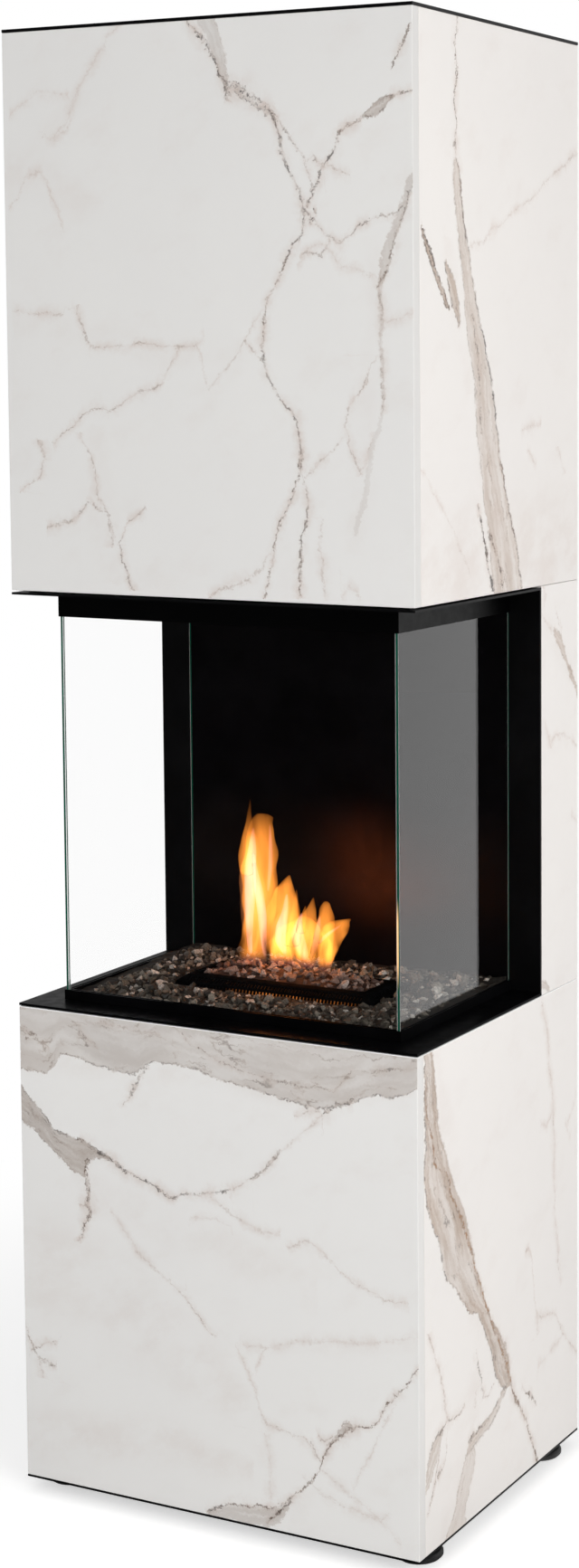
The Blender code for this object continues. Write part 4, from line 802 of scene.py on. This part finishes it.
def dress_frame():
    dress(marble("marble_hood_front", HOOD_FRONT, False, tone=0.935, weight=0.9), "hood_front_panel")
    # The base panels carry a painted highlight along their top edge.
    dress(marble("marble_base_front", BASE_FRONT, False, highlight_height=BASE_TOP, tone=1.02), "base_front_panel")
    for zone, veins, turned, right_tone, more in (
            ("hood", HOOD_SIDE, 3225, 1.0, {}), ("base", BASE_SIDE, 664, 1.03, {"highlight_height": BASE_TOP}),
            ("column", COLUMN_SIDE, 1904, 1.03, {"weight": 0.75})):
        dress(marble(f"marble_{zone}_right", veins, True, tone=right_tone, **more), f"{zone}_right_panel")
        dress(marble(f"marble_{zone}_left", veins, True, flip=turned, **more), f"{zone}_left_panel")

    # Black paint: colour, lowest and highest roughness, shine, grain.
    dress(powder_coat("black_paint", (0.0016, 0.0016, 0.0018), 0.32, 0.42, 0.16, 1500),
          "base_plate", "hood_plate", "top_plate", "column_cover_left", "column_cover_right",
          "base_back_panel", "column_back_panel", "hood_back_panel")
    dress(powder_coat("ledge_paint", (0.0012, 0.0012, 0.0014), 0.30, 0.40, 0.02, 1500),
          "ledge_plate", "sill_frame")
    # The header frame's paint is a darker copy of the black paint: painted shade for the shadow under the
    # hood's overhang.
    dress(powder_coat("shaded_header_paint", (0.0004, 0.0004, 0.0005), 0.32, 0.42, 0.14, 1500), "header_frame")
    # The firebox walls get a painted orange reflection of the fire in a band at its height.
    dress(fire_reflection_band(powder_coat("firebox_paint", (0.0014, 0.0014, 0.0018), 0.34, 0.44, 0.4, 1100)),
          "firebox_back", "gravel_tray", "flue_baffle")
    dress(powder_coat("burner_paint", (0.0018, 0.0018, 0.002), 0.55, 0.70, 0.012, 1800), "burner_surround")

    corners = [f"{end}_{side}" for end in ENDS for side in SIDES]
    dress(plated("zinc", (0.50, 0.51, 0.53), (0.60, 0.61, 0.62), 0.36),
          "column_post_left", "column_post_right",
          *[f"{part}_{corner}" for part in ("base_post", "hood_post", "foot_stud") for corner in corners],
          "flue_outer", "flue_inner", "burner_pan", "burner_plate", "pilot_burner", "valve_bracket")
    dress(plated("brass", (0.68, 0.47, 0.19), (0.78, 0.60, 0.30), 0.3),
          "burner_pipe", "supply_pipe", "gas_inlet")
    dress(plated("cast_aluminium", (0.52, 0.53, 0.54), (0.64, 0.65, 0.66), 0.48), "gas_valve")
    dress(dull("control_plastic", (0.035, 0.035, 0.037), (0.05, 0.05, 0.053), 0.5, 700), "control_box")
    dress(dull("foot_rubber", (0.012, 0.012, 0.012), (0.022, 0.022, 0.022), 0.5, 300),
          *[f"foot_pad_{corner}" for corner in corners])
    dress(dull("gravel_dust", (0.018, 0.016, 0.014), (0.05, 0.044, 0.038), 0.85, 200), "gravel_bed")
    dress(dull("ember_dust", (0.03, 0.016, 0.012), (0.08, 0.04, 0.026), 0.85, 200), "ember_bed")

    # Each pane's axis is the one it is thin along, and its index sets how much it mirrors. The lamps light
    # the gravel through the panes, so the panes cast no shadow.
    for pane, name, thin_axis, index in (("glass_front", "glass_across", 1, 1.2),
                                         ("glass_right", "glass_along", 0, 1.46),
                                         ("glass_left", "glass_far", 0, 1.1)):
        dress(fire_glass(name, thin_axis, index), pane)
        NODES[pane].visible_shadow = False


# Loose stones

def stone_shapes(rng, count):
    """Sharp-edged lumps about 1 across: the hulls of a few points round about."""
    shapes = []
    for _ in range(count):
        bm = bmesh.new()
        for _ in range(rng.randint(8, 13)):
            way = Vector((rng.gauss(0, 1), rng.gauss(0, 1), rng.gauss(0, 1))).normalized()
            bm.verts.new(way * rng.uniform(0.38, 0.62))
        hull = bmesh.ops.convex_hull(bm, input=bm.verts)
        bmesh.ops.delete(bm, geom=list(set(hull["geom_interior"] + hull["geom_unused"])), context="VERTS")
        bm.verts.ensure_lookup_table()
        bm.verts.index_update()
        shapes.append(([v.co.copy() for v in bm.verts], [[v.index for v in f.verts] for f in bm.faces]))
        bm.free()
    return shapes


def heap(name, rng, places, shapes, material):
    """One mesh of many stones, each turned and stretched its own way."""
    verts, faces = [], []
    for place, size in places:
        shape, sides = rng.choice(shapes)
        turn = Matrix.Rotation(rng.uniform(0, 6.28), 3, "Z") @ Matrix.Rotation(rng.uniform(0, 6.28), 3, "X")
        stretch = Matrix.Diagonal((size * rng.uniform(0.9, 1.35), size * rng.uniform(0.75, 1.05),
                                   size * rng.uniform(0.6, 0.9)))
        full = Matrix.Rotation(rng.uniform(-0.5, 0.5), 3, "Y") @ turn @ stretch
        first = len(verts)
        verts.extend(tuple(place + full @ co) for co in shape)
        faces.extend([first + i for i in side] for side in sides)
    mesh = bpy.data.meshes.new(name)
    mesh.from_pydata(verts, [], faces)
    mesh.update()
    new_piece(name, mesh, material)


def scatter(rng, node, pitch, sizes, lift, allowed):
    """Stones about a pitch apart over a node's bed, sunk or lifted by a share of their size. More of them
    are small than big."""
    low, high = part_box(node)
    mesh = NODES[node].data
    bed = BVHTree.FromPolygons([v.co for v in mesh.vertices], [p.vertices for p in mesh.polygons])
    smallest, biggest = sizes
    columns = int((high.x - low.x) / pitch)
    rows = int((high.y - low.y) / pitch)
    places = []
    for i in range(columns):
        for j in range(rows):
            x = low.x + (i + 0.5 + rng.uniform(-0.42, 0.42)) * (high.x - low.x) / columns
            y = low.y + (j + 0.5 + rng.uniform(-0.42, 0.42)) * (high.y - low.y) / rows
            size = smallest + (biggest - smallest) * rng.random() ** 1.5
            if not allowed(x, y, size):
                continue
            hit = bed.ray_cast(Vector((x, y, high.z + 10 * MM)), Vector((0, 0, -1)))[0]
            if hit is not None:
                places.append((Vector((x, y, hit.z + size * lift)), size))
    return places


def build_stones():
    """Gravel round the burner, lower in front of its slots, and embers in its opening."""
    rng = random.Random(7)
    shapes = stone_shapes(rng, 40)
    low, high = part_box("gravel_bed")
    tray_x = high.x - TRAY_FLANGE

    def beside_burner(x, y, size):
        edge = size / 2
        reach = SURROUND + edge
        on_tray = abs(x) <= tray_x - 0.4 * edge and low.y + 4 * MM + edge <= y <= high.y - 6 * MM - edge
        return on_tray and (abs(x) > OPENING_X + reach or abs(y - BURNER_Y) > OPENING_Y + reach)

    def away_from_slots(x, y, size):
        before = abs(x) < OPENING_X + 10 * MM and BURNER_Y - OPENING_Y - 46 * MM < y < BURNER_Y
        return beside_burner(x, y, size) and not before and abs(x) < tray_x - size

    def on_burner(x, y, size):
        inset = 2 * MM + 0.4 * size
        return abs(x) < OPENING_X - inset and abs(y - BURNER_Y) < OPENING_Y - inset

    places = scatter(rng, "gravel_bed", 0.0088, (0.0065, 0.0145), -0.08, beside_burner)
    places += scatter(rng, "gravel_bed", 0.0135, (0.0075, 0.0185), 0.2, away_from_slots)
    gravel = broken_stone("gravel_stone", (0.03, 0.025, 0.02), (0.13, 0.112, 0.09), (0.34, 0.305, 0.255),
                          (0.80, 0.76, 0.70))
    heap("gravel_stones", rng, places, shapes, gravel)

    places = scatter(rng, "ember_bed", 0.0095, (0.0075, 0.0145), 0.0, on_burner)
    places += scatter(rng, "ember_bed", 0.015, (0.008, 0.018), 0.25, on_burner)
    embers = broken_stone("ember_stone", (0.06, 0.038, 0.032), (0.23, 0.145, 0.115), (0.42, 0.30, 0.25),
                          (0.60, 0.49, 0.44))
    heap("ember_stones", rng, places, shapes, embers)


# Flames

def flame_material(name, edge, heart, thick, skin):
    """Burning gas: it glows through its depth in wavering upright streaks, and is thin and violet at its
    foot. thick is the glow's strength and skin how much the surface adds to it."""
    tree = new_tree(name)
    height = tree.split(tree.place)[2]
    waver = tree.drift(16, 2, 0.5, (22 * MM, 22 * MM, 0.0))
    streaks = tree.noise(62, 2, 0.5, place=(tree.place + waver) * (1.0, 1.0, 0.12))
    legs = streaks.span(0.42, 0.58)
    streaks = streaks.span(0.32, 0.68, 0.75, 1.3)
    # At its foot it is faint and split into legs, and it fades towards the tip.
    seen = height.span(0.724, 0.750, 0.03, 1.0) * legs.at_least(height.span(0.736, 0.792))
    seen = seen * height.span(0.895, 0.950, 1.0, 0.35)
    colour = tree.mix(height.span(0.724, 0.742), (0.26, 0.07, 0.14), tree.mix(streaks, edge, heart))
    glow = tree.give("Emission", colour, streaks * seen * thick)
    tree.put(tree.tree.nodes["Material Output"].inputs["Volume"], glow)
    tree.set({"Base Color": (0.0, 0.0, 0.0, 1.0), "Specular IOR Level": 0.0, "Roughness": 1.0,
              "Emission Color": (*edge, 1.0), "Emission Strength": 1.0, "Alpha": seen * skin})
    tree.material.cycles.volume_step_rate = 0.12
    return tree.material


def tongue(name, material, spine, grow=1.0, sides=20):
    """A flame: a closed body round a spine of (x, y, height, half width, half depth), in millimetres."""
    phase = random.Random(name).uniform(0, 6.28)
    levels = []
    for lower, upper in zip(spine, spine[1:]):
        levels += [lower, [(a + b) / 2 for a, b in zip(lower, upper)]]
    levels.append(spine[-1])
    bm = bmesh.new()
    rings = []
    for i, (x, y, z, wide, deep) in enumerate(levels):
        wide, deep = wide * grow, deep * grow
        x += 0.07 * wide * math.sin(i * 1.9 + phase)
        ring = []
        for k in range(sides):
            turn = 2 * math.pi * k / sides
            ripple = 1 + 0.10 * math.sin(3 * turn + phase + i * 0.9) + 0.07 * math.sin(5 * turn - i * 1.3)
            px = x + wide * ripple * math.cos(turn)
            py = y + deep * ripple * math.sin(turn)
            ring.append(bm.verts.new((px * MM, BURNER_Y + py * MM, z * MM)))
        rings.append(ring)
    bridge(bm, zip(rings, rings[1:]))
    bm.faces.new(rings[0][::-1])
    bm.faces.new(rings[-1])
    flame = new_piece(name, mesh_from(name, bm), material, smooth=True)
    smooth = flame.modifiers.new("smooth", "SUBSURF")
    smooth.levels = smooth.render_levels = 1


# The flames' spines, as rows of (x, y, height, half width, half depth) from the burner's middle and the
# floor, in millimetres. The cores glow inside the flames.

FLAMES = {
    "tall": [(-66, 0, 724, 24, 12), (-64, 0, 736, 26, 14), (-59, 1, 760, 23, 15), (-57, 1, 784, 23, 16),
        (-53, 2, 808, 26, 16), (-52, 2, 835, 28, 15), (-54, 2, 862, 28, 14), (-52, 2, 888, 26, 12),
        (-50, 2, 910, 22, 10), (-48, 2, 926, 18, 8), (-47, 2, 935, 15, 6), (-47, 2, 939, 8, 3)],
    "tip": [(-69, -6, 850, 11, 8), (-70, -6, 880, 11, 8), (-68, -6, 903, 9, 7), (-65.5, -5, 924, 5.5, 5),
        (-64.5, -5, 939, 2.8, 3), (-63.5, -5, 950, 1.5, 1.5), (-63, -5, 959, 0.4, 0.4)],
    "second": [(-18, 4, 724, 24, 12), (-18, 4, 740, 27, 14), (-17, 4, 770, 27, 15), (-16, 4, 798, 26, 15),
        (-16, 4, 818, 21, 14), (-14.5, 3, 834, 15, 12), (-9.5, 3, 845, 8, 7), (-5, 3, 856, 0.8, 0.8)],
    "shoulder": [(2, -4, 756, 14, 9), (5, -4, 780, 11, 9), (7, -4, 800, 8, 7), (8.5, -4, 816, 5, 4),
        (9.5, -4, 828, 2.4, 2), (10, -4, 838, 0.5, 0.5)],
    "third": [(22, -2, 726, 18, 11), (23, -2, 742, 24, 13), (25, -2, 768, 23, 13), (27, -2, 790, 17, 10),
        (30, -2, 806, 10, 7), (33, -2, 817, 5, 4), (36, -2, 829, 0.6, 0.6)],
    "third_side": [(16, -5, 776, 8, 6), (20, -5, 796, 6, 5), (23, -5, 808, 3, 3), (25, -5, 817, 0.5, 0.5)],
    "fourth": [(46, 3, 732, 12, 9), (47, 3, 750, 17, 12), (49, 3, 774, 15, 13), (52, 3, 798, 12, 12),
        (53, 3, 812, 9, 9), (53, 3, 820, 6, 6), (53, 3, 824, 2, 2)],
    "right": [(52, -5, 726, 8, 8), (55, -5, 742, 12, 11), (60, -5, 758, 15, 12), (65, -5, 772, 18, 12),
        (69, -5, 784, 20, 11), (74, -5, 793, 20, 10), (81, -5, 799, 15, 7), (90, -5, 803, 6, 3),
        (95, -5, 805, 1, 1)],
    "low": [(-2, 7, 724, 50, 9), (4, 7, 742, 58, 12), (9, 7, 760, 54, 13), (13, 7, 778, 38, 12),
        (15, 7, 790, 20, 8), (16, 7, 799, 6, 3)],
}
FLAME_CORES = {
    "tall": [(-66, -2, 738, 3, 4), (-69, -2, 765, 5, 6), (-68, -2, 800, 8, 8), (-66, -2, 840, 11, 8),
        (-64, -2, 872, 10, 7), (-62, -2, 898, 6, 5), (-60, -2, 920, 1, 1)],
    "bent": [(-44, 0, 735, 3, 4), (-46, 0, 760, 5, 6), (-48, 0, 795, 8, 7), (-53, 0, 826, 8, 7),
        (-59, 0, 856, 5, 5), (-62, 0, 884, 2, 2)],
    "side": [(-41, 4, 828, 2, 2), (-37, 4, 860, 4, 3), (-36, 4, 895, 3.5, 3), (-37, 4, 926, 1, 1)],
    "second": [(-12, 2, 742, 3, 4), (-20, 2, 760, 10, 7), (-19, 2, 782, 10, 8), (-13, 2, 802, 6, 5),
        (-9, 2, 830, 2, 2)],
    "third": [(22, -3, 738, 5, 5), (15, -3, 756, 13, 8), (10, -3, 776, 12, 8), (13, -3, 792, 6, 5),
        (18, -3, 806, 1, 1)],
    "fourth": [(30, 0, 742, 3, 3), (37, 0, 762, 6, 5), (41, 0, 784, 5, 4), (45, 0, 804, 1, 1)],
    "right": [(44, -2, 764, 2, 2), (54, -2, 776, 5, 3), (66, -2, 785, 4, 2.5), (80, -2, 795, 0.8, 0.8)],
}


def build_flames():
    orange = flame_material("flame_outer", (1.0, 0.23, 0.018), (1.0, 0.32, 0.045), 48.0, 0.03)
    yellow = flame_material("flame_core", (1.0, 0.38, 0.26), (1.0, 0.40, 0.42), 64.0, 0.02)
    amber = flame_material("flame_middle", (1.0, 0.28, 0.06), (1.0, 0.32, 0.10), 15.0, 0.0)
    for part, spine in FLAMES.items():
        tongue(f"flame_{part}", orange, spine)
    for part, spine in FLAME_CORES.items():
        tongue(f"flame_heart_{part}", yellow, spine, grow=0.85)
        tongue(f"flame_middle_{part}", amber, spine, grow=1.5)


def build_glow():
    """The fire inside the burner, seen through its slots: a rippled ring of light behind them."""
    tree = new_tree("slot_glow")
    x, _, z = tree.split(tree.place)
    patches = tree.noise(26, 3, 0.6).span(0.36, 0.66, 0.12, 1.0)
    reach = x.span(-0.09, -0.02) * x.span(0.07, 0.145, 1.0, 0.1)
    reach = reach * z.span(BURNER_RIM - 16 * MM, BURNER_RIM - 12 * MM, 1.0, 0.06)
    tree.set({"Base Color": tree.mix(patches, (0.01, 0.006, 0.005), (0.05, 0.02, 0.01)), "Roughness": 0.8,
              "Emission Color": (1.0, 0.30, 0.05, 1.0), "Emission Strength": patches * reach * 0.6})

    bm = bmesh.new()
    steps = 60
    loops = []
    for out, down in ((6, 34), (6, 7), (7.5, 7), (7.5, 34)):
        half_x, half_y = OPENING_X + out * MM, OPENING_Y + out * MM
        corners = [(-half_x, -half_y), (half_x, -half_y), (half_x, half_y), (-half_x, half_y)]
        loop = []
        for (ax, ay), (bx, by) in zip(corners, corners[1:] + corners[:1]):
            for i in range(steps):
                t = i / steps
                ripple = 1.2 * MM * math.sin(i * 1.7)
                nx, ny = (0, ripple) if ay == by else (ripple, 0)
                place = (ax + (bx - ax) * t + nx, BURNER_Y + ay + (by - ay) * t + ny, BURNER_RIM - down * MM)
                loop.append(bm.verts.new(place))
        loops.append(loop)
    bridge(bm, zip(loops, loops[1:] + loops[:1]))
    bmesh.ops.recalc_face_normals(bm, faces=bm.faces)
    new_piece("burner_glow", mesh_from("burner_glow", bm), tree.material, smooth=True)


# Camera, floor, light and background

def build_camera():
    data = bpy.data.cameras.new("camera")
    camera = link(bpy.data.objects.new("camera", data))
    camera.location = CAMERA_PLACE
    camera.rotation_euler = [math.radians(turn) for turn in CAMERA_TURN]
    data.sensor_width = 36.0
    data.lens = LENS
    data.shift_x, data.shift_y = SHIFT
    bpy.context.scene.camera = camera


def lamp(name, kind, place, power, size, colour):
    """A lamp that looks at the middle of the fire and shows neither itself nor its mirror image."""
    data = bpy.data.lights.new(name, kind)
    data.energy = power
    data.color = colour
    if kind == "AREA":
        data.shape = "RECTANGLE"
        data.size = data.size_y = size
    else:
        data.shadow_soft_size = size
    obj = link(bpy.data.objects.new(name, data))
    obj.location = place
    obj.rotation_euler = (Vector((0, 0, 0.9)) - Vector(place)).to_track_quat("-Z", "Y").to_euler()
    obj.visible_camera = obj.visible_glossy = obj.visible_transmission = False


def after_mirror_and_matt(tree):
    """Whether a ray has been mirrored, and whether it lights something rather than being looked at."""
    path = tree.give("LightPath").socket.node.outputs
    return [Value(tree, path[depth]).over(0.5) for depth in ("Glossy Depth", "Diffuse Depth")]


def build_light():
    """Two soft lamps, the fire's own light, and a world that is white to the camera and dim as a light."""
    lamp("key", "AREA", (4.2, -2.2, 1.5), 136.0, 2.6, (1.0, 0.985, 0.965))
    lamp("fill", "AREA", (-1.2, -4.6, 1.2), 54.0, 3.0, (0.97, 0.985, 1.0))
    lamp("fire_tall", "POINT", (-0.055, BURNER_Y - 4 * MM, 0.84), 0.22, 30 * MM, (1.0, 0.36, 0.10))
    lamp("fire_low", "POINT", (0.02, BURNER_Y - 4 * MM, 0.765), 0.10, 30 * MM, (1.0, 0.42, 0.14))

    world = bpy.data.worlds.new("studio")
    bpy.context.scene.world = world
    world.use_nodes = True
    tree = Tree(world.node_tree)
    mirrored, lighting = after_mirror_and_matt(tree)
    direction = tree.split(tree.give("TexCoord", output="Generated"))
    behind = direction[1].span(-0.1, 0.35, 0.02, 0.85)
    background = world.node_tree.nodes["Background"].inputs
    tree.put(background["Color"], (*WHITE, 1.0))
    tree.put(background["Strength"], lighting.blend(mirrored.blend(1.0, behind), 0.36))


def build_floor():
    """A pale floor that keeps the soft shadow near the feet and turns plain white further out. What mirrors
    it sees it dark in front of the fire, as in a dim room, and pale behind it."""
    bm = bmesh.new()
    bmesh.ops.create_circle(bm, cap_ends=True, segments=96, radius=9.0)
    mesh = mesh_from("floor", bm)
    tree = new_tree("pale_floor")
    tree.tree.nodes.remove(tree.shader)
    mirrored, lighting = after_mirror_and_matt(tree)
    away = tree.give("VectorMath", tree.place, operation="LENGTH", output="Value")
    plain = tree.give("BsdfDiffuse", (0.92, 0.92, 0.92, 1.0))
    dark = tree.give("BsdfDiffuse", (0.02, 0.02, 0.02, 1.0))
    white, lift = [tree.give("Emission", (*WHITE, 1.0), strength) for strength in (1.0, 0.5)]
    shown = tree.give("MixShader", away.span(0.5, 1.6), tree.give("AddShader", plain, lift), white)
    rear = tree.split(tree.place)[1].span(-0.4, 0.3, 0.0, 0.85)
    looked_at = tree.give("MixShader", mirrored, shown, tree.give("MixShader", rear, dark, shown))
    tree.put(tree.tree.nodes["Material Output"].inputs["Surface"],
             tree.give("MixShader", lighting, looked_at, plain))
    mesh.materials.append(tree.material)
    link(bpy.data.objects.new("floor", mesh))


build_camera()
dress_frame()
build_stones()
build_flames()
build_glow()
build_floor()
build_light()
bpy.context.scene.view_settings.view_transform = "Standard"
